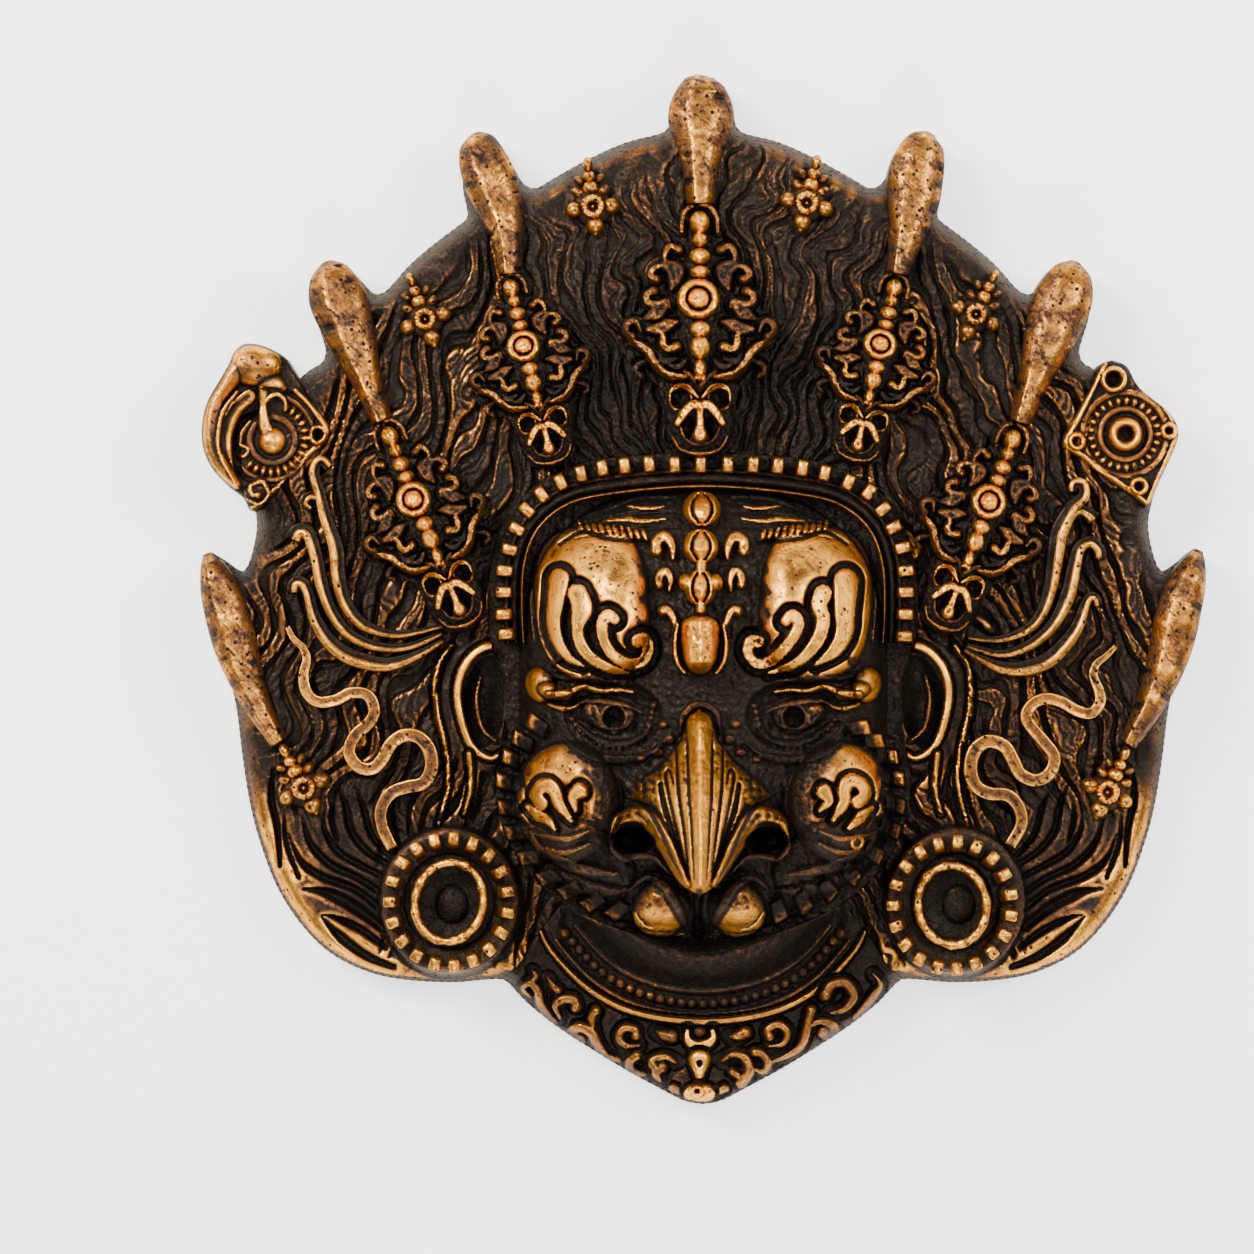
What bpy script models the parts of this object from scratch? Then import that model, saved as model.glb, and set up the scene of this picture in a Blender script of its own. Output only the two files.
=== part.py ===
# Garuda mask: a small wall mask, cast in one piece in copper alloy, with a hollow back.
# It lies face up. X runs across the face, Y up towards the crown and Z out of the face.
# The flat rim round its back stands on Z = 0, and the origin is at the middle of its box.
import math

import bpy
import numpy as np
from mathutils import Vector
from mathutils.geometry import delaunay_2d_cdt

# Driving dimensions, in metres.
MASK_HEIGHT = 0.1267  # tip of the crown's middle blade to the point of the collar
MASK_DEPTH = 0.038  # back rim to the ridge of the beak
EDGE_THICKNESS = 0.0052  # plate at its outline
EDGE_ROUND = 0.0018  # rounding of the front edge
WALL = 0.0034  # metal between the face and the hollow behind it
BACK_RIM = 0.0048  # flat band round the back, which the mask lies on
BACK_SLOPE = 0.0040  # width of the slope from the band into the hollow
HOLLOW_DEPTH = 0.9  # how far the hollow follows the head, 1 being all the way

# The carving is laid out in shares of the mask's height. At its real size a share is 1 mm.
HEIGHT_SHARES = 126.7
SHARE = MASK_HEIGHT / HEIGHT_SHARES

# Fineness of the surface.
GRAIN = 0.62  # spacing of the surface's points before thinning, in shares
FACES_KEPT = 9400  # triangles left after thinning
SMOOTH_UP_TO = 38  # degrees; steeper edges are shaded sharp

# The plate's outline, right half, from the crown's tip down to the collar's point.
OUTLINE = [
    (0.0, 63.3), (1.7, 62.7), (2.9, 61.0), (3.8, 58.6), (4.1, 57.2), (4.6, 56.5), (5.6, 56.0),
    (9.5, 55.0), (14.0, 53.0), (18.5, 50.5), (20.2, 49.5), (21.3, 49.5), (22.3, 50.3),
    (23.4, 52.2), (24.8, 54.2), (26.6, 55.5), (28.1, 55.8), (29.0, 54.9), (29.5, 52.2),
    (29.5, 49.2), (29.0, 46.7), (29.1, 45.6), (30.3, 44.6), (33.2, 42.4), (36.0, 40.0),
    (38.3, 37.4), (39.4, 36.5), (40.4, 36.4), (41.3, 37.2), (42.5, 38.5), (44.2, 39.6),
    (46.0, 39.9), (47.3, 38.8), (47.8, 36.0), (47.5, 33.2), (46.7, 30.6), (46.4, 29.2),
    (46.9, 27.9), (48.6, 26.8), (51.5, 24.0), (54.6, 19.0), (55.6, 13.0), (54.9, 8.6),
    (55.1, 6.0), (55.8, 3.4), (56.5, 2.3), (57.4, 2.5), (58.8, 3.5), (60.2, 4.3),
    (61.2, 4.1), (61.6, 2.8), (61.5, 0.0), (61.0, -3.5), (60.0, -6.8), (58.6, -10.2),
    (57.8, -12.6), (57.2, -16.0), (56.6, -21.0), (55.6, -27.0), (54.2, -32.0), (52.2, -37.0),
    (49.3, -41.4), (45.8, -44.8), (41.2, -47.1), (36.5, -48.1), (31.0, -48.4), (27.0, -48.1),
    (25.0, -48.0), (23.9, -48.5), (21.5, -51.0), (18.0, -53.8), (14.2, -56.3), (9.8, -59.0),
    (5.0, -61.6), (2.2, -63.0), (0.0, -63.4),
]
# Outlines of the two ornaments above the ears: a conch on the left, a set square on the right.
CONCH = [
    (-50.4, 27.2), (-51.2, 28.4), (-52.6, 29.3), (-54.4, 30.0), (-56.2, 30.1), (-57.4, 29.2),
    (-58.1, 27.6), (-59.2, 25.6), (-60.6, 23.2), (-61.4, 20.4), (-61.3, 17.4), (-60.2, 14.8),
    (-58.2, 12.6), (-56.4, 11.2), (-55.4, 9.6), (-53.6, 10.2), (-51.0, 13.4), (-47.4, 16.5),
    (-45.6, 19.4), (-48.0, 23.4),
]
SETTING = [
    (50.2, 28.1), (52.0, 27.4), (53.1, 25.4), (53.9, 24.4), (57.2, 21.6), (58.3, 19.6),
    (58.0, 17.6), (56.0, 13.2), (54.5, 10.0), (52.4, 11.4), (49.4, 13.4), (46.4, 15.8),
    (43.9, 17.6), (45.4, 21.0), (47.4, 24.6), (48.6, 27.4),
]

# Crown blades, right side and middle: tip, middle of the blade, foot, and greatest width.
BLADES = [
    ((0.0, 63.3), (0.0, 56.5), (0.0, 47.2), 8.0),
    ((28.2, 55.9), (26.4, 49.0), (23.4, 38.6), 6.4),
    ((45.9, 40.0), (43.6, 33.0), (38.4, 20.2), 7.0),
    ((61.0, 4.3), (58.0, -6.0), (51.9, -18.4), 6.2),
]
# Skull leaves, right side and middle: where the blade ends, the skull's chin, half width.
LEAVES = [
    ((0.0, 47.4), (0.0, 17.0), 9.0),
    ((23.8, 38.6), (18.4, 15.3), 6.6),
    ((38.4, 20.2), (28.8, -4.3), 7.0),
]
# Jewels between the blades: top bead, ring and half width.
JEWELS = [((14.1, 52.0), (13.1, 47.0), 3.4), ((36.0, 38.8), (33.6, 33.3), 3.3)]
ROSETTES = [((52.2, -18.8), (49.2, -24.7), 3.2)]

# Ribbons behind the ear, each from its root to its curled tip, with its greatest width.
RIBBONS = [
    ([(32.3, -7.0), (36.0, -8.9), (40.0, -9.2), (43.8, -7.9), (46.3, -5.0), (47.6, -1.8),
      (48.6, 0.0), (49.6, 0.2), (49.9, -1.2)], 1.9),
    ([(32.6, -6.2), (36.4, -7.4), (39.8, -7.0), (42.7, -5.0), (44.8, -2.0), (46.0, 1.5),
      (47.0, 4.8), (48.2, 6.6), (49.6, 6.0), (49.5, 4.6)], 2.0),
    ([(33.2, -5.1), (36.6, -5.8), (39.8, -5.0), (42.0, -2.6), (43.3, 1.2), (44.3, 5.6),
      (45.6, 9.6), (46.8, 12.4), (46.6, 14.6), (45.4, 14.2)], 2.2),
]
SERPENT = [
    (50.8, -6.0), (49.7, -7.4), (48.3, -9.0), (48.3, -11.2), (48.8, -13.0), (47.8, -14.4),
    (45.8, -14.4), (43.8, -13.3), (41.6, -13.1), (40.2, -14.2), (40.0, -15.7), (41.2, -17.6),
    (42.9, -19.2), (43.0, -21.2), (41.4, -22.7), (39.3, -21.9), (38.2, -20.0), (36.7, -18.3),
    (34.8, -18.1), (33.4, -19.6), (33.0, -21.6), (33.8, -23.7), (35.8, -24.6), (37.8, -25.4),
    (39.1, -27.2), (38.9, -29.4), (37.2, -31.5),
]
EAR_FOLD = [
    (29.2, -28.0), (30.0, -20.5), (31.0, -15.0), (30.2, -10.0), (27.6, -7.2), (24.6, -7.8),
    (23.0, -10.8),
]
EAR_BACK = [(31.6, -28.4), (33.2, -21.0), (33.0, -14.0), (31.4, -8.6)]
EAR_SHELL = [(29.4, -20.6), (26.8, -19.4), (24.4, -16.4), (24.2, -12.6)]

# Headband: its ridge over the brow, and the arc that its studs stand on.
BAND = [(21.6, -7.5), (21.6, -1.0), (20.9, 4.2), (18.4, 8.4), (13.8, 11.2), (7.0, 12.3), (0.0, 12.5)]
STUD_ARC = [(24.6, -5.8), (24.8, -0.6), (23.8, 5.6), (20.6, 11.4), (14.6, 14.1), (7.0, 15.2), (0.0, 15.3)]
STUDS = 15  # on each side, with the one in the middle
BAND_HEIGHT = 3.4
STUD_HEIGHT = 3.9

# Earring: middle, radii across and up of its ring and of its studs, and how many studs.
EARRING = (31.0, -38.1)
EARRING_RING = (4.1, 4.7)
EARRING_STUDS = (6.9, 7.4)
EARRING_STUD_COUNT = 22

# Beak: flutes on each side of its ridge, and how deep they are.
BEAK_FLUTES = 3
BEAK_FLUTE_DEPTH = 0.45

# Jaw studs, right side, from the temple round to the chin.
JAW_ARC = [(20.6, -17.2), (23.3, -21.0), (23.8, -26.0), (22.0, -31.0), (18.4, -35.6), (13.2, -38.6), (9.4, -39.4)]
JAW_STUDS = 12

# Neck, its row of beads and the rim of the collar, right half from the middle outwards.
NECK = [(0.0, -45.6), (6.0, -44.6), (11.0, -41.6), (14.0, -38.0)]
NECK_BEADS = [(0.0, -50.9), (7.0, -49.8), (12.6, -46.8), (16.8, -42.2)]
NECK_BEAD_COUNT = 15
COLLAR_RIM = [(0.0, -52.9), (8.0, -51.9), (13.8, -49.0), (18.6, -43.8)]

# Scrolls of the collar, right half: middle, radius, where each opens, in degrees.
COLLAR_SCROLLS = [
    ((20.8, -49.2), 1.5, 200), ((16.6, -50.4), 1.9, 160), ((13.2, -54.0), 1.9, 250),
    ((9.3, -54.9), 1.7, 140), ((7.7, -58.2), 1.5, 60), ((4.4, -59.2), 1.8, 220),
]


def curve_through(points, steps=6):
    """A smooth curve through the points, as an array of x, y."""
    ends = [points[0], *points, points[-1]]
    knots = np.array(ends, float)
    t = np.linspace(0, 1, steps, endpoint=False)[:, None]
    runs = []
    for a, b, c, d in zip(knots, knots[1:], knots[2:], knots[3:]):
        runs.append(
            b
            + (c - a) * t / 2
            + (2 * a - 5 * b + 4 * c - d) * t**2 / 2
            + (3 * b - a - 3 * c + d) * t**3 / 2
        )
    return np.vstack([*runs, knots[-1:]])


def spaced(path, count):
    """Points at even distances along a path, with the way it runs at each."""
    steps = np.hypot(*np.diff(path, axis=0).T)
    run = np.concatenate([[0], np.cumsum(steps)])
    at = np.linspace(0, run[-1], count)
    points = np.column_stack([np.interp(at, run, path[:, 0]), np.interp(at, run, path[:, 1])])
    ahead = np.gradient(points, axis=0)
    return points, np.degrees(np.arctan2(ahead[:, 1], ahead[:, 0]))


def mirrored(points):
    return [(-x, y) for x, y in points]


def both_sides(points):
    return [points, mirrored(points)]


def across(points):
    """A half path and its mirror image as one path, from the far left to the far right."""
    return mirrored(points)[::-1] + list(points)[1:]


class Relief:
    """The height of the carving over the points of the front, in shares above the plate's edge."""

    def __init__(self, points, edge):
        self.x, self.y = points.T
        self.edge = edge
        self.z = np.zeros(len(points))

    def near(self, x, y, reach):
        return (abs(self.x - x) < reach) & (abs(self.y - y) < reach)

    def local(self, spot, x, y, turn):
        """The picked points as seen from x, y, with the first axis turned to that angle."""
        c, s = math.cos(math.radians(turn)), math.sin(math.radians(turn))
        dx, dy = self.x[spot] - x, self.y[spot] - y
        return dx * c + dy * s, dy * c - dx * s

    def mound(self, x, y, rx, ry, height, turn=0.0, blunt=0.5):
        """Adds a rounded swelling."""
        spot = self.near(x, y, max(rx, ry))
        u, v = self.local(spot, x, y, turn)
        left = np.clip(1 - (u / rx) ** 2 - (v / ry) ** 2, 0, 1)
        self.z[spot] += height * left**blunt

    def set_top(self, spot, ground, height):
        """Raises the picked points to a height above the ground under the ornament."""
        self.z[spot] = np.maximum(self.z[spot], ground + height)

    def bead(self, x, y, rx, ry, height, turn=0.0, seat=0.0):
        """A bead on a seat above the ground, as high over it as height says."""
        spot = self.near(x, y, max(rx, ry))
        u, v = self.local(spot, x, y, turn)
        left = 1 - (u / rx) ** 2 - (v / ry) ** 2
        inside = np.flatnonzero(spot)[left > 0]
        self.set_top(inside, self.ground[inside], seat + height * left[left > 0] ** 0.5)

    def stud(self, x, y, along, wide, height, turn, seat=0.0):
        """A square stud with sloping sides."""
        spot = self.near(x, y, along + wide)
        u, v = self.local(spot, x, y, turn)
        left = 1 - np.maximum(abs(u) / along, abs(v) / wide)
        inside = np.flatnonzero(spot)[left > 0]
        self.set_top(inside, self.ground[inside], seat + height * np.minimum(1, left[left > 0] * 2.4))

    def ring(self, x, y, rx, ry, width, height, seat=0.0):
        """A rounded ring, width being half of what its section is across."""
        spot = self.near(x, y, max(rx, ry) + width)
        u, v = self.x[spot] - x, self.y[spot] - y
        off = (np.hypot(u / rx, v / ry) - 1) * (rx + ry) / 2 / width
        inside = np.flatnonzero(spot)[abs(off) < 1]
        self.set_top(inside, self.ground[inside], seat + height * (1 - off[abs(off) < 1] ** 2) ** 0.5)

    def measure(self, path, reach):
        """For points within reach of the path: which they are, how far off, and how far along, 0 to 1."""
        low, high = path.min(0) - reach, path.max(0) + reach
        spot = np.flatnonzero(
            (self.x > low[0]) & (self.x < high[0]) & (self.y > low[1]) & (self.y < high[1])
        )
        steps = np.hypot(*np.diff(path, axis=0).T)
        run = np.concatenate([[0], np.cumsum(steps)]) / steps.sum()
        best, where = np.full(len(spot), 1e9), np.zeros(len(spot))
        for i, (a, b) in enumerate(zip(path, path[1:])):
            dx, dy = b - a
            t = ((self.x[spot] - a[0]) * dx + (self.y[spot] - a[1]) * dy) / max(dx * dx + dy * dy, 1e-9)
            t = np.clip(t, 0, 1)
            off = np.hypot(self.x[spot] - a[0] - t * dx, self.y[spot] - a[1] - t * dy)
            closer = off < best
            best[closer] = off[closer]
            where[closer] = (run[i] + t * (run[i + 1] - run[i]))[closer]
        close = best < reach
        return spot[close], best[close], where[close]

    def ridge(self, points, width, height, seat=0.0, flat=0.0, ends=(1.0, 1.0)):
        """A raised line, width being its half width, with a flat share on top and narrowed ends."""
        path = curve_through(points) if isinstance(points, list) else points
        spot, off, where = self.measure(path, width)
        slim = np.interp(where, [0, 0.15, 0.85, 1], [ends[0], 1, 1, ends[1]])
        left = 1 - off / np.maximum(width * slim, 1e-6)
        inside = left > 0
        rise = np.minimum(1, left[inside] / max(1 - flat, 1e-6))
        spot = spot[inside]
        self.set_top(spot, self.ground[spot], seat + height * slim[inside] * (1 - (1 - rise) ** 2) ** 0.5)

    def groove(self, points, width, depth):
        """A cut line, width being its half width."""
        spot, off, _ = self.measure(curve_through(points), width)
        self.z[spot] -= depth * (1 - (off / width) ** 2)

    def settle(self):
        """Takes the surface so far as the ground that the next ornaments stand on."""
        self.ground = self.z.copy()


def plate_points():
    """Points over the whole front, the triangles between them, and the loose edges of the outline."""
    half = curve_through(OUTLINE)
    mask_loop = np.vstack([half, (half * (-1, 1))[-2:0:-1]])
    loops = [mask_loop] + [curve_through(loop + loop[:1])[:-1] for loop in (CONCH, SETTING)]
    points, faces = [], []
    for loop in loops:
        steps = np.hypot(*(np.roll(loop, -1, axis=0) - loop).T)
        run = np.concatenate([[0], np.cumsum(steps)])
        at = np.linspace(0, run[-1], int(run[-1] / GRAIN), endpoint=False)
        around = np.vstack([loop, loop[:1]])
        faces.append([len(points) + i for i in range(len(at))])
        points += [(np.interp(a, run, around[:, 0]), np.interp(a, run, around[:, 1])) for a in at]
    border = np.array(points)
    reach = 64.0
    rows = np.arange(-reach, reach, GRAIN * math.sqrt(3) / 2)
    for number, y in enumerate(rows):
        x = np.arange(-reach, reach, GRAIN) + (number % 2) * GRAIN / 2
        close = border[abs(border[:, 1] - y) < GRAIN]
        gap = np.hypot(x[:, None] - close[:, 0], y - close[:, 1]).min(1) if len(close) else x * 0 + reach
        points += [(value, y) for value in x[gap > GRAIN * 0.55]]
    verts, _, tris, _, _, _ = delaunay_2d_cdt([Vector(p) for p in points], [], faces, 1, 1e-5)
    verts, tris = np.array([tuple(v) for v in verts]), np.array(tris)
    used, tris = np.unique(tris, return_inverse=True)
    verts, tris = verts[used], tris.reshape(-1, 3)
    a, b = verts[tris[:, 1]] - verts[tris[:, 0]], verts[tris[:, 2]] - verts[tris[:, 0]]
    flipped = a[:, 0] * b[:, 1] < a[:, 1] * b[:, 0]
    tris[flipped] = tris[flipped][:, ::-1]
    pairs = np.vstack([tris[:, [0, 1]], tris[:, [1, 2]], tris[:, [2, 0]]])
    keys, first, count = np.unique(np.sort(pairs, axis=1), axis=0, return_index=True, return_counts=True)
    return verts, tris, pairs[first[count == 1]]


def distance_to_edge(verts, rim):
    """How far each point of the front is from the outline."""
    a, b = verts[rim[:, 0]], verts[rim[:, 1]]
    along = b - a
    square = (along**2).sum(1)
    found = np.empty(len(verts))
    for start in range(0, len(verts), 2000):
        p = verts[start : start + 2000, None] - a
        t = np.clip((p * along).sum(2) / square, 0, 1)
        off = p - t[:, :, None] * along
        found[start : start + 2000] = np.sqrt((off**2).sum(2)).min(1)
    return found


def smooth_step(value, low, high):
    t = np.clip((value - low) / (high - low), 0, 1)
    return t * t * (3 - 2 * t)


def body_of_mask(x, y):
    """The broad form under the carving: a plate that rises to the head, and the head's dome."""
    plate = 5.0 * np.clip(1 - (x / 60) ** 2 - ((y - 2) / 60) ** 2, 0, 1)
    tall = np.where(y > -12, 24.5, 30.0)
    reach = abs(x / 22.5) ** 2.6 + abs((y + 12) / tall) ** 2.6
    return plate, 12.0 * np.clip(1 - reach, 0, 1) ** 0.6


def carve_face(relief):
    """Brows, eyes, cheeks, beak and chin, laid on the head's dome."""
    for side in (-1, 1):
        relief.mound(side * 12.6, -1.6, 8.6, 9.4, 6.4, turn=side * -12, blunt=0.6)
        relief.mound(side * 17.0, -25.6, 5.8, 7.2, 6.6)
        relief.mound(side * 10.8, -15.6, 5.4, 3.4, -2.0)
        relief.mound(side * 19.6, -12.0, 2.0, 2.0, 2.6)
        relief.mound(side * 4.6, -38.8, 3.3, 3.8, 6.0, turn=side * 28)
        relief.mound(side * 7.2, -29.0, 4.4, 2.8, 4.0)
    relief.mound(-0.4, -25.4, 10.0, 6.4, 6.4, blunt=1.0)
    relief.settle()
    for side in (-1, 1):
        relief.bead(side * 10.8, -15.4, 3.1, 1.9, 2.0)
        relief.ridge([(side * 18.6, -12.2), (side * 15.6, -12.8), (side * 12.6, -12.0), (side * 8.6, -12.7)], 0.9, 1.2)
        relief.ridge([(side * 15.4, -17.2), (side * 11.0, -19.6), (side * 6.4, -17.6)], 1.0, 0.9)
        relief.ridge([(side * 10.4, -30.4), (side * 8.6, -27.9), (side * 5.6, -29.4), (side * 3.0, -33.4)], 1.2, 1.6)
        relief.mound(side * 7.6, -30.6, 2.4, 1.4, -3.4)
        for flame in (
            [(side * 17.6, 1.6), (side * 18.0, -3.4), (side * 15.2, -8.6)],
            [(side * 15.2, -0.6), (side * 15.2, -4.6), (side * 11.0, -9.2)],
            [(side * 11.4, -3.0), (side * 11.6, -6.0), (side * 9.0, -9.0), (side * 6.4, -7.6), (side * 8.0, -6.0)],
        ):
            relief.ridge(flame, 1.2, 1.0, flat=0.5)
        relief.ridge([(side * 19.6, -25.2), (side * 18.8, -24.0), (side * 17.2, -25.0), (side * 15.8, -27.4)], 1.1, 1.0)
        relief.ridge([(side * 14.8, -26.0), (side * 15.2, -24.6), (side * 14.0, -24.2)], 0.9, 0.9)
    carve_beak(relief)
    for y, across_it, down, height in ((10.2, 2.1, 2.3, 4.6), (5.0, 2.1, 2.4, 5.2), (0.6, 2.4, 2.8, 5.6), (-6.2, 2.5, 3.7, 7.6)):
        relief.bead(-0.3, y, across_it, down, height)
    for side in (-1, 1):
        for y in (5.2, 0.8, -3.4):
            relief.ridge([(side * 3.4, y - 1.4), (side * 4.0, y + 0.8), (side * 5.2, y + 0.2)], 0.7, 1.4)


def carve_beak(relief):
    """A fan of flutes that narrows to the beak's tip."""
    spot = np.flatnonzero(relief.near(-0.4, -26.0, 12.0))
    x, y = relief.x[spot] + 0.4, relief.y[spot]
    down = [-37.2, -36.4, -34.0, -31.0, -28.6, -26.4, -25.6, -24.0, -22.0, -20.0, -18.0, -16.4, -15.4]
    wide = np.interp(y, down, [0.3, 1.7, 3.0, 4.3, 5.4, 7.0, 9.6, 8.4, 6.2, 3.8, 2.4, 1.7, 0.2])
    rise = np.interp(y, down, [15.0, 19.4, 20.6, 17.4, 13.6, 10.4, 9.4, 7.8, 7.0, 6.6, 5.8, 3.4, 0.0])
    share = abs(x / wide)
    spot, share, rise = spot[share < 1], share[share < 1], rise[share < 1]
    flutes = BEAK_FLUTE_DEPTH * np.cos(share * math.pi * 2 * BEAK_FLUTES) * (1 - share)
    relief.set_top(spot, relief.ground[spot], rise * (1 - share) ** 0.7 + flutes)


def carve_headband(relief):
    relief.ridge(curve_through(across(BAND)), 1.1, BAND_HEIGHT)
    arc = curve_through(STUD_ARC)
    points, turns = spaced(arc, STUDS)
    for (x, y), turn in zip(points, turns):
        for side in (-1, 1) if x > 0.1 else (1,):
            relief.stud(side * x, y, 0.75, 1.1, STUD_HEIGHT, turn * side)


def carve_blade(relief, tip, middle, foot, width):
    """A blade of the crown: broad near its tip, slim at its foot, with a rounded back."""
    path = curve_through([tip, middle, foot])
    spot, off, where = relief.measure(path, width / 2)
    half = width / 2 * np.interp(where, [0, 0.06, 0.2, 0.4, 0.62, 1], [0.35, 0.62, 0.95, 1, 0.68, 0.52])
    left = 1 - off / half
    inside = left > 0
    height = np.interp(where, [0, 0.3, 1], [1.6, 4.0, 4.2])[inside] * (1 - (1 - left[inside]) ** 2.2) ** 0.6
    relief.set_top(spot[inside], relief.ground[spot[inside]], height)


def carve_leaf(relief, head, chin, half_width):
    """A leaf of the skull crown, from the foot of its blade down to the skull."""
    head, chin = np.array(head), np.array(chin)
    length = math.dist(head, chin)
    turn = math.degrees(math.atan2(*(chin - head)[::-1]))
    scale = length / 30.4
    size = scale * 0.5 + 0.5
    along = (chin - head) / length
    aside = np.array([-along[1], along[0]])

    def place(down, out=0.0):
        return tuple(head + along * down * length + aside * out * half_width)

    spot = np.flatnonzero(relief.near(*(head + chin) / 2, length / 2 + half_width))
    u = ((relief.x[spot] - head[0]) * along[0] + (relief.y[spot] - head[1]) * along[1]) / length
    v = ((relief.x[spot] - head[0]) * aside[0] + (relief.y[spot] - head[1]) * aside[1]) / half_width
    wide = np.interp(u, [0, 0.16, 0.36, 0.56, 0.7, 0.78, 0.88, 1], [0.24, 0.42, 0.78, 1, 0.72, 0.45, 0.42, 0.16])
    left = 1 - abs(v) / wide
    inside = (left > 0) & (u > 0) & (u < 1)
    pad = np.interp(u[inside], [0, 0.3, 0.6, 0.85, 1], [2.0, 3.6, 4.6, 5.4, 3.0])
    relief.set_top(spot[inside], relief.ground[spot[inside]], pad * np.minimum(1, left[inside] * 3) ** 0.6)
    for down, radius, top in ((0.05, 1.2, 4.6), (0.15, 0.95, 4.6), (0.22, 1.05, 4.8), (0.285, 1.05, 5.2)):
        relief.bead(*place(down), radius * size, radius * size, 1.4, seat=top - 1.4)
    relief.ring(*place(0.4), 1.95 * size, 1.95 * size, 0.62, 1.6, seat=4.6)
    relief.bead(*place(0.4), 1.5 * size, 1.5 * size, 2.2, seat=4.2)
    for down, radius in ((0.53, 0.9), (0.62, 1.1), (0.71, 0.9)):
        relief.bead(*place(down), radius * size, radius * size, 1.3, seat=4.6)
    for side in (-1, 1):
        for down, out, radius in ((0.26, 0.44, 1.2), (0.42, 0.62, 1.2), (0.57, 0.72, 1.5), (0.64, 0.42, 1.2)):
            relief.ring(*place(down, side * out), radius * size, radius * size, 0.5, 1.0, seat=3.6)
        relief.ring(*place(0.8, side * 0.29), 1.5 * size, 1.4 * size, 0.55, 1.6, seat=5.0)
        relief.ridge([place(0.925, side * 0.3), place(0.88, side * 0.16), place(0.885, 0.0)], 0.6, 1.6, seat=5.4)
    relief.ridge([place(0.88), place(0.945)], 0.6, 1.8, seat=5.4)
    return turn


def carve_jewel(relief, top, ring, half_width):
    """A small jewel: a drop of beads above a ring, with three petals round it."""
    top, ring = np.array(top), np.array(ring)
    down = (ring - top) / math.dist(top, ring)
    aside = np.array([-down[1], down[0]])
    relief.bead(*top, 0.9, 0.9, 1.9)
    relief.bead(*(top * 0.62 + ring * 0.38), 1.1, 1.1, 2.4)
    relief.bead(*(top * 0.34 + ring * 0.66), 1.3, 1.3, 2.8)
    for side in (-1, 1):
        relief.bead(*(ring + aside * side * half_width * 0.78), 1.1, 1.0, 2.2)
        relief.bead(*(ring - down * 1.9 + aside * side * 1.9), 0.8, 0.8, 1.8)
    relief.bead(*(ring + down * 2.2), 1.2, 1.3, 2.4)
    relief.ring(*ring, 1.0, 1.0, 0.55, 3.0)
    relief.bead(*ring, 0.5, 0.5, 2.6)


def carve_ear(relief, side):
    """Ear, ribbons behind it, and the serpent that winds down to the earring."""
    for points, width, height in ((EAR_FOLD, 1.3, 4.2), (EAR_BACK, 0.9, 2.2), (EAR_SHELL, 1.1, 2.8)):
        relief.ridge([(side * x, y) for x, y in points], width, height)
    for points, width in RIBBONS:
        relief.ridge([(side * x, y) for x, y in points], width / 2, 2.0, flat=0.5, ends=(0.4, 0.9))
    relief.ridge([(side * x, y) for x, y in SERPENT], 0.95, 2.2, flat=0.4, ends=(0.6, 1.0))


def carve_earring(relief, side):
    x, y = side * EARRING[0], EARRING[1]
    relief.bead(x, y, EARRING_STUDS[0] + 1.6, EARRING_STUDS[1] + 1.6, 3.6)
    relief.ring(x, y, *EARRING_RING, 0.9, 2.0, seat=4.0)
    relief.mound(x, y, EARRING_RING[0] - 0.5, EARRING_RING[1] - 0.5, -3.4, blunt=0.4)
    for number in range(EARRING_STUD_COUNT):
        angle = 2 * math.pi * number / EARRING_STUD_COUNT
        at = (x + EARRING_STUDS[0] * math.cos(angle), y + EARRING_STUDS[1] * math.sin(angle))
        relief.stud(*at, 1.0, 0.72, 1.6, math.degrees(angle), seat=2.4)


def carve_jaw_and_neck(relief):
    relief.ridge(curve_through(across(NECK)), 6.4, 4.0)
    relief.settle()
    for side in (-1, 1):
        points, turns = spaced(curve_through(JAW_ARC), JAW_STUDS)
        for (x, y), turn in zip(points, turns):
            relief.stud(side * x, y, 0.95, 1.0, 2.0, turn * side)
    points, _ = spaced(curve_through(across(NECK_BEADS)), 2 * NECK_BEAD_COUNT + 1)
    for x, y in points:
        relief.bead(x, y, 0.62, 0.62, 1.0)
    relief.ridge(curve_through(across(COLLAR_RIM)), 0.9, 1.8)


def carve_collar(relief):
    """Filigree of the collar: C scrolls on each side of a cup and a drop."""
    for (x, y), radius, opens in COLLAR_SCROLLS:
        angles = np.radians(np.linspace(opens + 40, opens + 320, 14))
        spiral = np.column_stack([x + radius * np.cos(angles), y + radius * np.sin(angles)])
        relief.ridge(spiral, 0.6, 1.5)
        relief.ridge(spiral * (-1, 1), 0.6, 1.5)
    for y, radius in ((-55.0, 1.6), (-58.1, 1.3), (-61.4, 1.3)):
        relief.bead(-0.3, y, radius, radius, 1.9)


def carve_conch(relief):
    """A conch shell over a disc with a toothed border."""
    relief.ridge([(-52.6, 28.4), (-56.0, 26.6), (-59.0, 21.8), (-59.2, 17.0), (-57.6, 13.2)], 2.2, 3.4, ends=(1.0, 0.5))
    relief.bead(-54.8, 27.4, 3.2, 2.6, 3.2)
    relief.ring(-53.0, 19.0, 5.6, 5.6, 1.1, 2.6)
    relief.bead(-52.9, 19.0, 2.2, 2.2, 3.2)
    relief.ring(-47.2, 19.0, 0.9, 0.9, 0.6, 2.0)
    relief.ring(-54.4, 12.0, 1.4, 1.4, 0.6, 2.2)


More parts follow.
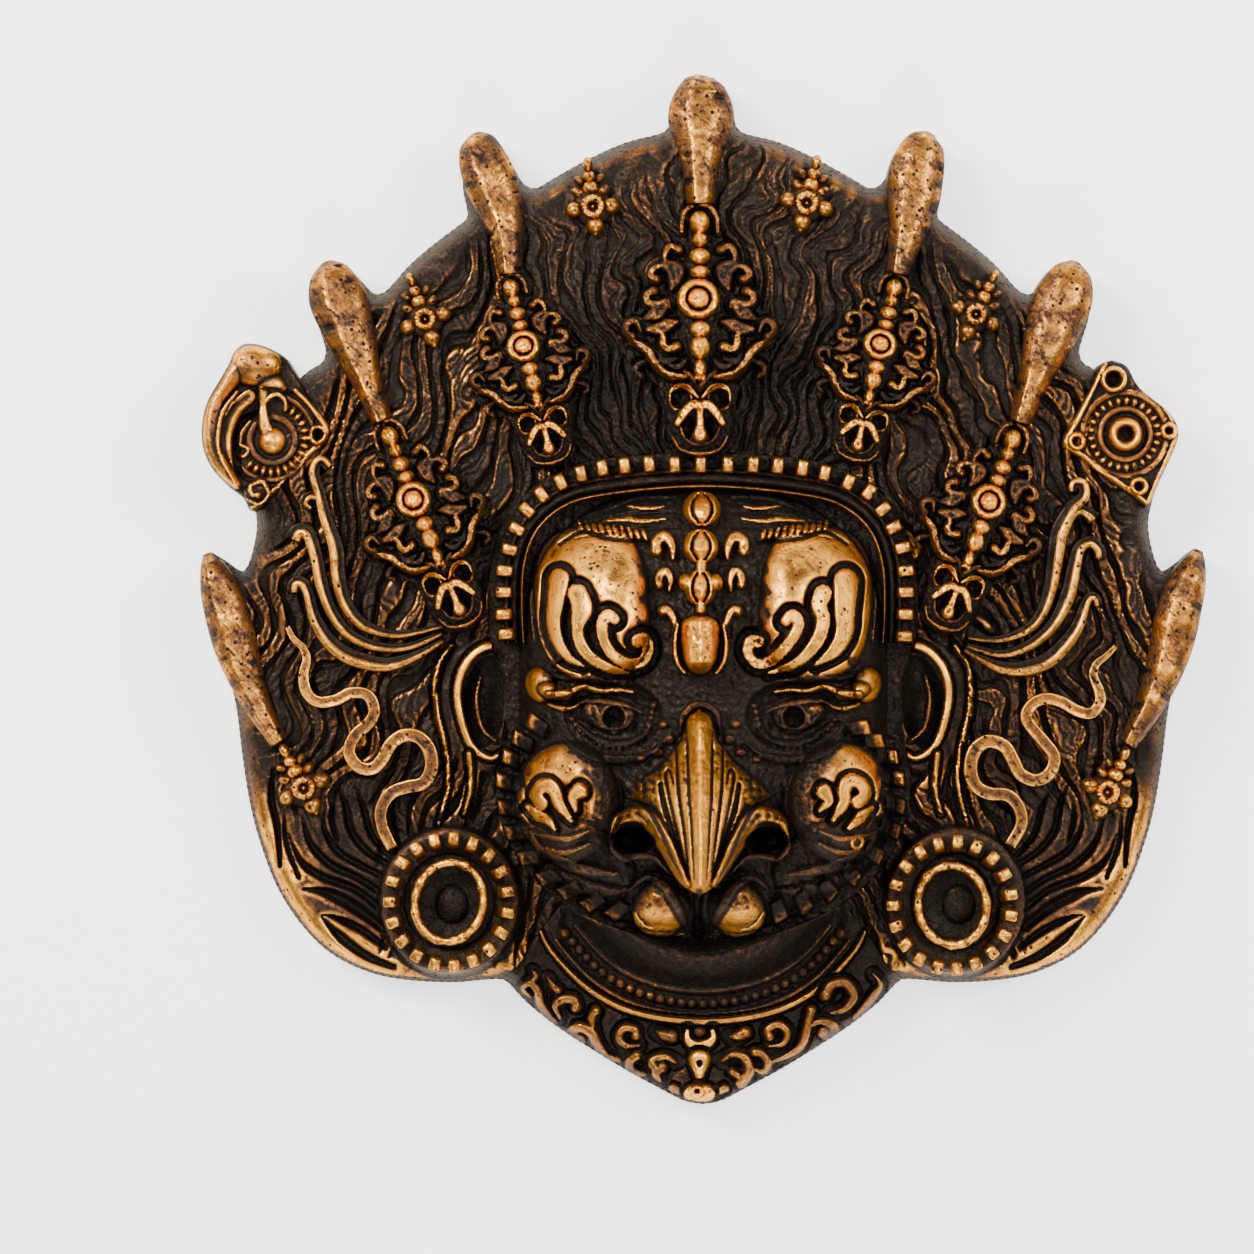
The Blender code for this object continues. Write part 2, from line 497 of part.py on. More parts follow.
def carve_setting(relief):
    """A square setting with a round boss and a ring at each corner."""
    relief.ring(51.6, 19.0, 4.9, 4.9, 1.6, 2.2)
    relief.ring(51.6, 19.0, 1.9, 2.0, 0.9, 3.2)
    for x, y in ((50.2, 25.6), (57.1, 19.4), (45.8, 18.1), (53.4, 12.6)):
        relief.ring(x, y, 0.95, 0.95, 0.6, 2.4)


def carve_hair(relief):
    """Wavy locks that run out from the headband, and sweep round the lower lobes."""
    crown = [(angle, 27.0 if angle < 50 else 30.0, 52.0) for angle in (5, 8, 11, 15, 19, 33, 38, 43, 48)]
    for side in (-1, 1):
        for number, (angle, low, high) in enumerate(crown):
            reach = np.linspace(low, high - 4, 9)
            sway = np.radians(angle) + 0.022 * np.sin(reach * 0.55 + number * 2)
            path = np.column_stack([side * reach * np.sin(sway) * 1.12, reach * np.cos(sway) - 6])
            relief.ridge(path, 0.85, 1.1, ends=(0.5, 0.1))
        for number in range(4):
            lift = number * 2.6
            sweep = [(38.5 - number * 0.4, -44.6 + lift), (43.0, -41.8 + lift), (48.0 - number * 0.7, -36.6 + lift)]
            relief.ridge([(side * x, y) for x, y in sweep], 0.9, 1.2, ends=(0.6, 0.1))
        for x, y in ((52.8, -2.0), (50.8, 3.5), (54.0, 4.0)):
            relief.ridge([(side * x, y - 4), (side * (x + 0.8), y), (side * x, y + 4)], 0.8, 1.1, ends=(0.1, 0.1))


def carved(points, edge):
    """The whole carving as a height at each point of the front."""
    relief = Relief(points, edge)
    plate, dome = body_of_mask(relief.x, relief.y)
    relief.z = plate.copy()
    relief.settle()
    carve_hair(relief)
    for side in (-1, 1):
        carve_ear(relief, side)
        carve_earring(relief, side)
    carve_conch(relief)
    carve_setting(relief)
    carve_collar(relief)
    for blades, carve in ((BLADES, carve_blade), (LEAVES, carve_leaf), (JEWELS + ROSETTES, carve_jewel)):
        for tip, *others, size in blades:
            for side in (-1, 1) if tip[0] > 0.1 else (1,):
                carve(relief, *[(side * x, y) for x, y in (tip, *others)], size)
    relief.z = np.maximum(relief.z, np.where(dome > 0, plate + dome, 0))
    carve_face(relief)
    relief.ground = plate + dome
    carve_headband(relief)
    carve_jaw_and_neck(relief)
    return relief.z * smooth_step(edge, -0.8, 2.2)


def rounded_edge(edge):
    """Height in metres of the plate alone, with the front edge of its outline rounded."""
    lowered = np.clip(1 - edge * SHARE / EDGE_ROUND, 0, 1)
    return EDGE_THICKNESS - EDGE_ROUND * (1 - np.sqrt(1 - lowered**2))


def back_height(points, edge, front, lift):
    """Height of the back in metres: a flat band at the outline, then the hollow under the carving."""
    plate, dome = body_of_mask(*points.T)
    hollow = EDGE_THICKNESS + lift * (plate + HOLLOW_DEPTH * dome) - WALL
    opened = smooth_step(edge * SHARE, BACK_RIM, BACK_RIM + BACK_SLOPE)
    return np.clip(np.minimum(hollow, front - WALL / 2), 0, None) * opened


def cast_mask():
    """The casting: front and back over the same outline, closed by the plate's edge."""
    points, tris, rim = plate_points()
    edge = distance_to_edge(points, rim)
    relief = carved(points, edge)
    lift = (MASK_DEPTH - EDGE_THICKNESS) / relief.max()
    front = rounded_edge(edge) + lift * relief
    back = back_height(points, edge, front, lift)
    flat = points * SHARE
    count = len(points)
    verts = np.vstack([np.column_stack([flat, front]), np.column_stack([flat, back])])
    verts[:, :2] -= (verts[:, :2].max(0) + verts[:, :2].min(0)) / 2
    sides = [(b, a, a + count, b + count) for a, b in rim.tolist()]
    faces = tris.tolist() + (tris[:, ::-1] + count).tolist() + sides
    mesh = bpy.data.meshes.new("garuda_mask")
    mesh.from_pydata(verts.tolist(), [], faces)
    mask = bpy.data.objects.new("garuda_mask", mesh)
    bpy.context.scene.collection.objects.link(mask)
    thin = mask.modifiers.new("thin", "DECIMATE")
    thin.ratio = FACES_KEPT / (2 * len(tris) + 2 * len(rim))
    mesh.shade_smooth()
    mesh.set_sharp_from_angle(angle=math.radians(SMOOTH_UP_TO))
    return mask


def aged_bronze():
    """Dark patina over copper alloy."""
    metal = bpy.data.materials.new("aged_bronze")
    metal.use_nodes = True
    shader = metal.node_tree.nodes["Principled BSDF"]
    shader.inputs["Base Color"].default_value = (0.23, 0.12, 0.06, 1)
    shader.inputs["Metallic"].default_value = 0.9
    shader.inputs["Roughness"].default_value = 0.42
    return metal


for old in list(bpy.data.objects):
    bpy.data.objects.remove(old)
mask = cast_mask()
mask.data.materials.append(aged_bronze())
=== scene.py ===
import math

import bpy
import numpy as np
from mathutils import Matrix, Vector
from mathutils.geometry import delaunay_2d_cdt
from mathutils.kdtree import KDTree


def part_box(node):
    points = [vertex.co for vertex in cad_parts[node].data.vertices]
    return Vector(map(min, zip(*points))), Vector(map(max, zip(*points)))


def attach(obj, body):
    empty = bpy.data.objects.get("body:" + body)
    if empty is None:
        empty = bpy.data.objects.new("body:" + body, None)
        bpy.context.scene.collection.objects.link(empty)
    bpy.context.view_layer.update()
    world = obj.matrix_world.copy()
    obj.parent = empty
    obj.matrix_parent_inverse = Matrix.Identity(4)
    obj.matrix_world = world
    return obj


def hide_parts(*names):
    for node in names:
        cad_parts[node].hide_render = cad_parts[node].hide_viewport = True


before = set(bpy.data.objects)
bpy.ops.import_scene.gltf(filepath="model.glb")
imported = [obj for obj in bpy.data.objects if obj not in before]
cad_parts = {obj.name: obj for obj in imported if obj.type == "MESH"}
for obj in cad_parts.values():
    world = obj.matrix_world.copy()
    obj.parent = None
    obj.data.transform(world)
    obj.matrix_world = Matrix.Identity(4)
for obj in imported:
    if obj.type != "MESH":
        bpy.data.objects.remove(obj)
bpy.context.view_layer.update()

# The body of the casting: a plate that swells towards the head, with a rounded edge all round.
# It is one lost-wax casting in copper alloy, black with patina and rubbed bright where it stands out.
# Its back is hollow, and it lies on the flat rim that is left round its outline.
MASK_LOW, MASK_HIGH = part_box("garuda_mask")
MM = (MASK_HIGH.y - MASK_LOW.y) / 126.7
EDGE_THICKNESS = 5.2
EDGE_ROUND = 1.8
WALL = 3.4
BACK_RIM = 4.8
BACK_SLOPE = 4.0
OUTLINE = [
    (0.0, 63.3), (1.7, 62.7), (2.9, 61.0), (3.8, 58.6), (4.1, 57.2), (4.6, 56.5), (5.6, 56.0),
    (9.5, 55.0), (14.0, 53.0), (18.5, 50.5), (20.2, 49.5), (21.3, 49.5), (22.3, 50.3),
    (23.4, 52.2), (24.8, 54.2), (26.6, 55.5), (28.1, 55.8), (29.0, 54.9), (29.5, 52.2),
    (29.5, 49.2), (29.0, 46.7), (29.1, 45.6), (30.3, 44.6), (33.2, 42.4), (36.0, 40.0),
    (38.3, 37.4), (39.4, 36.5), (40.4, 36.4), (41.3, 37.2), (42.5, 38.5), (44.2, 39.6),
    (46.0, 39.9), (47.3, 38.8), (47.8, 36.0), (47.5, 33.2), (46.7, 30.6), (46.4, 29.2),
    (46.9, 27.9), (48.6, 26.8), (51.5, 24.0), (54.6, 19.0), (55.6, 13.0), (54.9, 8.6),
    (55.1, 6.0), (55.8, 3.4), (56.5, 2.3), (57.4, 2.5), (58.8, 3.5), (60.2, 4.3),
    (61.2, 4.1), (61.6, 2.8), (61.5, 0.0), (61.0, -3.5), (60.0, -6.8), (58.6, -10.2),
    (57.8, -12.6), (57.2, -16.0), (56.6, -21.0), (55.6, -27.0), (54.2, -32.0), (52.2, -37.0),
    (49.3, -41.4), (45.8, -44.8), (41.2, -47.1), (36.5, -48.1), (31.0, -48.4), (27.0, -48.1),
    (25.0, -48.0), (23.9, -48.5), (21.5, -51.0), (18.0, -53.8), (14.2, -56.3), (9.8, -59.0),
    (5.0, -61.6), (2.2, -63.0), (0.0, -63.4),
]


def curve_through(points, steps=8):
    """A smooth curve through the points, as an array of x, y."""
    knots = np.array([points[0], *points, points[-1]], float)
    t = np.linspace(0, 1, steps, endpoint=False)[:, None]
    runs = []
    for a, b, c, d in zip(knots, knots[1:], knots[2:], knots[3:]):
        bend = (2 * a - 5 * b + 4 * c - d) * t**2 / 2
        runs.append(b + (c - a) * t / 2 + bend + (3 * b - a - 3 * c + d) * t**3 / 2)
    return np.vstack([*runs, knots[-1:]])


def spaced(path, gap=None, count=None):
    """Points at even distances along a path, ends included, with whatever else it carries."""
    run = np.concatenate([[0], np.cumsum(np.hypot(*np.diff(path[:, :2], axis=0).T))])
    at = np.linspace(0, run[-1], count or max(2, round(run[-1] / gap) + 1))
    return np.column_stack([np.interp(at, run, row) for row in path.T])


def headings(path):
    """The way a path runs at each of its points, in degrees."""
    ahead = np.gradient(path, axis=0)
    return np.degrees(np.arctan2(ahead[:, 1], ahead[:, 0]))


def mirrored(points):
    return [(-x, y) for x, y in points]


def across(points):
    """A half path and its mirror image as one path, from the far left to the far right."""
    return mirrored(points)[::-1] + list(points)[1:]


def smooth_step(value, low, high):
    t = np.clip((value - low) / (high - low), 0, 1)
    return t * t * (3 - 2 * t)


def swells(x, y, size, seed):
    """Smooth random swells, about one for each size across, from about -1 to 1."""
    luck = np.random.default_rng(seed)
    total = np.zeros_like(x)
    for _ in range(9):
        turn, phase = luck.uniform(0, 2 * math.pi, 2)
        pace = 2 * math.pi / size * luck.uniform(0.6, 1.5)
        total += np.sin(pace * (x * math.cos(turn) + y * math.sin(turn)) + phase)
    return total / 3.6


def plate_height(x, y):
    return EDGE_THICKNESS + 5.0 * np.clip(1 - (x / 60) ** 2 - ((y - 2) / 60) ** 2, 0, 1)


def dome_height(x, y):
    tall = np.where(y > -12, 24.5, 30.0)
    return 12.0 * np.clip(1 - abs(x / 22.5) ** 2.6 - abs((y + 12) / tall) ** 2.6, 0, 1) ** 0.6


def tree_of(points):
    """A tree that finds the nearest of the points."""
    tree = KDTree(len(points))
    for number, (x, y) in enumerate(points):
        tree.insert((x, y, 0), number)
    tree.balance()
    return tree


def distances(tree, x, y):
    return np.array([tree.find((a, b, 0))[2] for a, b in zip(x, y)])


outer_edge = spaced(curve_through(OUTLINE + mirrored(OUTLINE)[-2:0:-1] + OUTLINE[:1]), 0.3)
edge_tree = tree_of(outer_edge)


def from_edge(x, y):
    """How far points are from the outline of the plate."""
    return distances(edge_tree, x, y)


def edges_of(tris):
    return np.vstack([tris[:, [0, 1]], tris[:, [1, 2]], tris[:, [2, 0]]])


def fill(loop, grain=None):
    """Points and triangles inside a loop of points, grain apart, or only the loop's own points."""
    points = [tuple(p) for p in loop]
    if grain:
        low, high = loop.min(0), loop.max(0)
        border = tree_of(loop)
        for row, y in enumerate(np.arange(low[1], high[1], grain * math.sqrt(3) / 2)):
            for x in np.arange(low[0] + row % 2 * grain / 2, high[0], grain):
                if border.find((x, y, 0))[2] > grain * 0.6:
                    points.append((x, y))
    verts, _, tris, _, _, _ = delaunay_2d_cdt(
        [Vector(p) for p in points], [], [list(range(len(loop)))], 1, 1e-5,
    )
    verts, tris = np.array([tuple(v) for v in verts]), np.array(tris)
    used, tris = np.unique(tris, return_inverse=True)
    verts, tris = verts[used], tris.reshape(-1, 3)
    a, b = verts[tris[:, 1]] - verts[tris[:, 0]], verts[tris[:, 2]] - verts[tris[:, 0]]
    flipped = a[:, 0] * b[:, 1] < a[:, 1] * b[:, 0]
    tris[flipped] = tris[flipped][:, ::-1]
    return verts, tris


class Carving:
    """Part of the casting's face, worked as heights over points in millimetres."""

    def __init__(self, loop, grain, ground):
        self.loop, self.grain = loop, grain
        self.points, self.tris = fill(loop, grain)
        self.x, self.y = self.points.T
        self.ground = ground(self.x, self.y)
        self.z = self.ground.copy()
        self.bright = np.zeros(len(self.x))

    def settle(self):
        """Takes the surface so far as the ground that the next work stands on."""
        self.ground = self.z.copy()

    def local(self, x, y, reach, turn):
        """Points near x, y and where they are, with the first axis turned to that angle."""
        spot = np.flatnonzero((abs(self.x - x) < reach) & (abs(self.y - y) < reach))
        c, s = math.cos(math.radians(turn)), math.sin(math.radians(turn))
        dx, dy = self.x[spot] - x, self.y[spot] - y
        return spot, dx * c + dy * s, dy * c - dx * s

    def raise_to(self, spot, top, bright):
        """Lifts points to a height, where they are lower, and says how bright they're rubbed."""
        higher = top > self.z[spot]
        self.z[spot[higher]] = top[higher]
        self.bright[spot[higher]] = bright

    def mound(self, x, y, rx, ry, height, turn=0.0, blunt=0.5, square=2.0, bright=None):
        """Adds a rounded swelling, or a hollow; above 2, square makes it less of an oval."""
        spot, u, v = self.local(x, y, max(rx, ry) * 1.2, turn)
        left = np.clip(1 - abs(u / rx) ** square - abs(v / ry) ** square, 0, 1) ** blunt
        self.z[spot] += height * left
        if bright is not None:
            share = smooth_step(left, 0.15, 0.75)
            self.bright[spot] = self.bright[spot] * (1 - share) + bright * share

    def bead(self, x, y, rx, ry, height, turn=0.0, seat=0.0, bright=1.0):
        spot, u, v = self.local(x, y, max(rx, ry), turn)
        left = 1 - (u / rx) ** 2 - (v / ry) ** 2
        spot, left = spot[left > 0], left[left > 0]
        self.raise_to(spot, self.ground[spot] + seat + height * left**0.5, bright)

    def ring(self, x, y, radius, width, height, seat=0.0, bright=1.0, squash=1.0, turn=0.0):
        """A rounded ring; width is half of what its section is across."""
        spot, u, v = self.local(x, y, (radius + width) * max(1, squash), turn)
        off = (np.hypot(u, v / squash) - radius) / width
        spot, off = spot[abs(off) < 1], off[abs(off) < 1]
        self.raise_to(spot, self.ground[spot] + seat + height * (1 - off**2) ** 0.5, bright)

    def measure(self, path, reach):
        """Points within reach of the path, how far off each is, and how far along, 0 to 1."""
        low, high = path.min(0) - reach, path.max(0) + reach
        spot = np.flatnonzero(
            (self.x > low[0]) & (self.x < high[0]) & (self.y > low[1]) & (self.y < high[1])
        )
        run = np.concatenate([[0], np.cumsum(np.hypot(*np.diff(path, axis=0).T))])
        best, where = np.full(len(spot), 1e9), np.zeros(len(spot))
        for i, (a, b) in enumerate(zip(path, path[1:])):
            dx, dy = b - a
            near = np.flatnonzero(
                (abs(self.x[spot] - (a[0] + b[0]) / 2) < reach + abs(dx))
                & (abs(self.y[spot] - (a[1] + b[1]) / 2) < reach + abs(dy))
            )
            px, py = self.x[spot[near]] - a[0], self.y[spot[near]] - a[1]
            t = np.clip((px * dx + py * dy) / max(dx * dx + dy * dy, 1e-9), 0, 1)
            off = np.hypot(px - t * dx, py - t * dy)
            closer = off < best[near]
            best[near[closer]] = off[closer]
            where[near[closer]] = (run[i] + t * (run[i + 1] - run[i]))[closer] / run[-1]
        close = best < reach
        return spot[close], best[close], where[close]

    def line(self, points, widths, height, seat=0.0, flat=0.3, bright=1.0, moat=0.0, depth=0.8):
        """A raised line with half widths along it, flat on top, in a dark moat if one is asked for."""
        path = spaced(curve_through(points), 0.3)
        widths, seat = np.atleast_1d(widths), np.atleast_1d(seat)
        if moat:
            self.trench(points, widths, moat, depth)
        spot, off, where = self.measure(path, widths.max() + 0.01)
        half = np.interp(where, np.linspace(0, 1, len(widths)), widths)
        lift = np.interp(where, np.linspace(0, 1, len(seat)), seat)
        left = 1 - off / np.maximum(half, 1e-6)
        spot, left, half, lift = spot[left > 0], left[left > 0], half[left > 0], lift[left > 0]
        rise = np.minimum(1, left / (1 - flat))
        tall = (height + lift) * np.minimum(1, half / widths.max() + 0.35)
        self.raise_to(spot, self.ground[spot] + tall * (1 - (1 - rise) ** 2.4) ** 0.5, bright)

    def trench(self, points, widths, moat, depth):
        """Sinks the ground to a dark moat round where a raised line will lie."""
        widths = np.atleast_1d(widths)
        spot, off, where = self.measure(spaced(curve_through(points), 0.3), widths.max() + moat + 0.01)
        half = np.interp(where, np.linspace(0, 1, len(widths)), widths)
        dip = smooth_step(off, half + moat, half + moat * 0.6)
        self.z[spot] = np.minimum(self.z[spot], self.ground[spot] - depth * dip)
        self.bright[spot] *= 1 - dip

    def groove(self, points, widths, depth, bright=None):
        """A cut line with half widths along it."""
        path = spaced(curve_through(points), 0.3)
        widths = np.atleast_1d(widths)
        spot, off, where = self.measure(path, widths.max())
        half = np.maximum(np.interp(where, np.linspace(0, 1, len(widths)), widths), 1e-6)
        cut = np.clip(1 - (off / half) ** 2, 0, 1)
        self.z[spot] -= depth * cut * np.minimum(1, half / widths.max() + 0.2)
        if bright is not None:
            self.bright[spot] = self.bright[spot] * (1 - cut) + bright * cut

    def hook(self, points, width, height, bulb=1.5, **more):
        """A scroll that ends in a bulb at its last point."""
        self.line(points, [width * 0.35, width, width], height, **more)
        seat = more.get("seat", 0.0)
        self.bead(
            *points[-1], width * bulb, width * bulb, height * 1.15, seat=seat,
            bright=more.get("bright", 1.0),
        )

    def blurred(self, heights, reach):
        """Heights averaged with their neighbours, about as far as reach."""
        for _ in range(max(1, round(2 * (reach / self.grain) ** 2))):
            heights = np.bincount(self.here, heights[self.there], len(heights)) / self.degree
        return heights

    def finish(self):
        """How each point is finished: rubbed bright (less where painted shadow has been laid on), sharp of
        edge, and standing out of its surroundings.
        """
        pairs = edges_of(self.tris)
        self.here, self.there = np.vstack([pairs, pairs[:, ::-1]]).T
        self.degree = np.maximum(np.bincount(self.here, minlength=len(self.x)), 1)
        fine = self.blurred(self.z, 0.3)
        broad = self.blurred(fine, 1.1)
        edge = np.clip(0.5 + (self.z - fine) / 0.16, 0, 1)
        stand = np.clip(0.5 + (self.z - broad) / 1.4, 0, 1)
        return np.column_stack([self.bright, edge, stand])


class Metal:
    """Gathers meshes in millimetres, with how each point is finished, into one piece of the mask."""

    def __init__(self, name):
        self.name, self.verts, self.faces, self.finish, self.count = name, [], [], [], 0

    def add(self, verts, faces, finish):
        """Adds points, faces over them, and a finish for each point or one for all."""
        verts = np.array(verts, float)
        self.verts.append(verts)
        self.faces += [[i + self.count for i in face] for face in faces]
        self.finish.append(np.broadcast_to(np.array(finish, float), (len(verts), 3)))
        self.count += len(verts)

    def add_carving(self, carving, under, coarse=None):
        """Adds a carving as a closed solid over an underside."""
        back, back_tris = fill(carving.loop, coarse)
        low = under(back[:, 0], back[:, 1])
        top = np.column_stack([carving.points, carving.z])
        pairs = edges_of(carving.tris)
        _, first, times = np.unique(np.sort(pairs, axis=1), axis=0, return_index=True, return_counts=True)
        rim = pairs[first[times == 1]]
        below = {(round(x, 3), round(y, 3)): number for number, (x, y) in enumerate(back)}
        under_rim = {i: below[round(top[i, 0], 3), round(top[i, 1], 3)] + len(top) for i in np.unique(rim)}
        sides = [(b, a, under_rim[a], under_rim[b]) for a, b in rim.tolist()]
        faces = carving.tris.tolist() + (back_tris[:, ::-1] + len(top)).tolist() + sides
        finish = np.vstack([carving.finish(), np.tile([0.1, 0.5, 0.4], (len(back), 1))])
        self.add(np.vstack([top, np.column_stack([back, low])]), faces, finish)

    def make(self, material):
        """Makes the piece, gives it its metal and hangs it on the mask."""
        mesh = bpy.data.meshes.new(self.name)
        verts = np.vstack(self.verts) * MM
        verts[:, 2] += MASK_LOW.z
        mesh.from_pydata(verts.tolist(), [], self.faces)
        mesh.update()
        colours = mesh.color_attributes.new("finish", "FLOAT_COLOR", "POINT")
        shown = np.column_stack([np.vstack(self.finish), np.ones(len(verts))])
        colours.data.foreach_set("color", shown.astype(np.float32).ravel())
        mesh.shade_smooth()
        mesh.materials.append(material)
        piece = bpy.data.objects.new(self.name, mesh)
        bpy.context.scene.collection.objects.link(piece)
        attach(piece, "root")
        return piece


class Socket:
    """A shader value that can be used in sums."""

    def __init__(self, tree, link):
        self.tree, self.link = tree, link

    def math(self, operation, *others):
        node = self.tree.nodes.new("ShaderNodeMath")
        node.operation = operation
        for place, value in zip(node.inputs, (self, *others)):
            if isinstance(value, Socket):
                self.tree.links.new(value.link, place)
            else:
                place.default_value = value
        return Socket(self.tree, node.outputs[0])

    def __add__(self, other):
        return self.math("ADD", other)

    def __mul__(self, other):
        return self.math("MULTIPLY", other)

    def __sub__(self, other):
        return self.math("SUBTRACT", other)

    def __rsub__(self, other):
        return (self * -1) + other

    def between(self, low, high):
        """0 below low, 1 above high and smooth in between."""
        settings = {"interpolation_type": "SMOOTHSTEP", "clamp": True}
        return add_node(
            self.tree, "ShaderNodeMapRange", settings, {"Value": self, "From Min": low, "From Max": high},
        )


def add_node(tree, kind, settings, values, output=0):
    """A node of that kind, with its settings made first and its sockets filled after."""
    node = tree.nodes.new(kind)
    for setting, value in settings.items():
        if setting == "stops":
            ramp = node.color_ramp
            while len(ramp.elements) < len(value):
                ramp.elements.new(0.5)
            for element, (at, colour) in zip(ramp.elements, value):
                element.position, element.color = at, (*colour, 1)
        else:
            setattr(node, setting, value)
    for socket, value in values.items():
        if isinstance(value, Socket):
            tree.links.new(value.link, node.inputs[socket])
        else:
            node.inputs[socket].default_value = value
    return Socket(tree, node.outputs[output])


class Finish:
    """Builds the nodes of one material."""

    def __init__(self, name):
        self.material = bpy.data.materials.new(name)
        self.material.use_nodes = True
        self.tree = self.material.node_tree
        self.shader = self.tree.nodes["Principled BSDF"]

    def node(self, kind, settings, values, output=0):
        return add_node(self.tree, kind, settings, values, output)

    def feed(self, socket, value):
        self.tree.links.new(value.link, self.shader.inputs[socket])


PATINA = (0.006, 0.005, 0.0043)
UMBER = (0.032, 0.0165, 0.0105)
COPPER = (0.150, 0.058, 0.019)
BRONZE = (0.43, 0.178, 0.029)
GOLD = (0.90, 0.41, 0.046)
REDDENING = 0.5


def aged_bronze():
    """Copper alloy under black patina, rubbed bright where the finish says, and darkened with painted shadow
    where the finish carries it.
    """
    look = Finish("aged_bronze")
    place = look.node("ShaderNodeTexCoord", {}, {}, "Object")
    finish = look.node("ShaderNodeVertexColor", {"layer_name": "finish"}, {})
    height = look.node("ShaderNodeSeparateXYZ", {}, {"Vector": place}, "Z")
    side_wall = 1 - height.between(0.0030, 0.0046)
    parts = look.tree.nodes.new("ShaderNodeSeparateColor")
    look.tree.links.new(finish.link, parts.inputs[0])
    bright, edge, stand = (Socket(look.tree, parts.outputs[i]) for i in range(3))

    def noise(scale, detail, rough=0.55, output="Fac", where=place):
        return look.node(
            "ShaderNodeTexNoise", {},
            {"Vector": where, "Scale": scale, "Detail": detail, "Roughness": rough}, output,
        )

    def dot(way):
        return look.node("ShaderNodeVectorMath", {"operation": "DOT_PRODUCT"}, {0: place, 1: way}, "Value")

    blotch, mottle, speck = noise(170, 5), noise(560, 5, 0.62), noise(2300, 4)
    bent = look.node(
        "ShaderNodeVectorMath", {"operation": "MULTIPLY_ADD"},
        {0: noise(420, 3, output="Color"), 1: (0.0016, 0.0016, 0.0016), 2: place},
    )
    web_gap = look.node(
        "ShaderNodeTexVoronoi", {"feature": "DISTANCE_TO_EDGE"}, {"Vector": bent, "Scale": 560.0},
        "Distance",
    )
    web = (1 - web_gap.between(0.0, 0.075)) * blotch.between(0.46, 0.62)
    pit_cells = look.node(
        "ShaderNodeTexVoronoi", {"feature": "F1"}, {"Vector": place, "Scale": 1000.0}, "Distance",
    )
    pits = (1 - pit_cells.between(0.14, 0.30)) * mottle.between(0.44, 0.53)
    slanted = look.node(
        "ShaderNodeCombineXYZ", {}, {"X": dot((0.75, 0.66, 0)), "Y": dot((0.16, -0.18, 0)), "Z": height},
    )
    scratches = noise(2000, 3, where=slanted).between(0.565, 0.63)
    creases = (noise(620, 4, 0.6) - 0.5).math("ABSOLUTE").between(0.0, 0.055)
    sharp = (edge - 0.5) * 2
    keen = (bright + 0.045).math("MINIMUM", 0.44)
    # Mostly rubbed wear; round the crown leaves the bright channel also carries painted shadow.
    wear_and_shade = bright * 0.70 + sharp * keen + (stand - 0.5) * (bright * 0.24 + 0.14)
    wear_and_shade = wear_and_shade + (mottle - 0.5) * (bright * 0.66 + 0.12) + (blotch - 0.5) * (bright * 0.50 + 0.20)
    wear_and_shade = wear_and_shade + (speck - 0.5) * (bright * 0.62 + 0.05) + web * (0.20 - bright * 0.38)
    wear_and_shade = wear_and_shade - pits * bright * 0.75 - side_wall * 0.3 - scratches * bright * 0.26 + (creases - 0.7) * 0.07
    stops = [(0.0, PATINA), (0.17, PATINA), (0.31, UMBER), (0.46, COPPER), (0.64, BRONZE), (0.92, GOLD)]
    colour = look.node("ShaderNodeValToRGB", {"stops": stops}, {"Fac": wear_and_shade})
    reddened = look.node(
        "ShaderNodeMix", {"data_type": "RGBA", "blend_type": "MULTIPLY"},
        {"Factor": blotch.between(0.50, 0.72) * REDDENING, 6: colour, 7: (0.90, 0.72, 0.58, 1)}, 2,
    )
    look.feed("Base Color", reddened)
    shine = wear_and_shade.between(0.22, 0.62)
    look.feed("Metallic", (shine * 0.62 + 0.38) * (1 - side_wall))
    rough = 0.48 - shine * 0.13 + (speck - 0.5) * 0.14 + (mottle - 0.5) * 0.16
    look.feed("Roughness", rough + pits * 0.2 + side_wall * 0.4)
    relief = speck * 0.22 + mottle * 0.75 - pits * 1.2 - web * bright * 0.3 - scratches * bright * 0.5
    relief = relief + creases * (0.95 - shine * 0.8)
    bump = look.node("ShaderNodeBump", {}, {"Strength": 0.7, "Distance": 0.0001, "Height": relief})
    look.feed("Normal", bump)
    look.shader.inputs["Specular IOR Level"].default_value = 0.24
    look.shader.inputs["Specular Tint"].default_value = (1.0, 0.76, 0.56, 1)
    return look.material


bronze = aged_bronze()


def halo_height(x, y):
    return plate_height(x, y) + 1.1


def rounded(carving):
    """Rounds a carving down to the plate's edge."""
    near = from_edge(carving.x, carving.y)
    lowered = np.clip(1 - near / EDGE_ROUND, 0, 1)
    drop = EDGE_ROUND * (1 - np.sqrt(1 - lowered**2))
    held = smooth_step(near, -0.8, 2.2)
    carving.z = EDGE_THICKNESS - drop + (carving.z - EDGE_THICKNESS) * held


def underside(x, y):
    """The hollow back, with the flat band that the mask lies on."""
    hollow = plate_height(x, y) + 0.9 * dome_height(x, y) - WALL
    return hollow * smooth_step(from_edge(x, y), BACK_RIM, BACK_RIM + BACK_SLOPE)


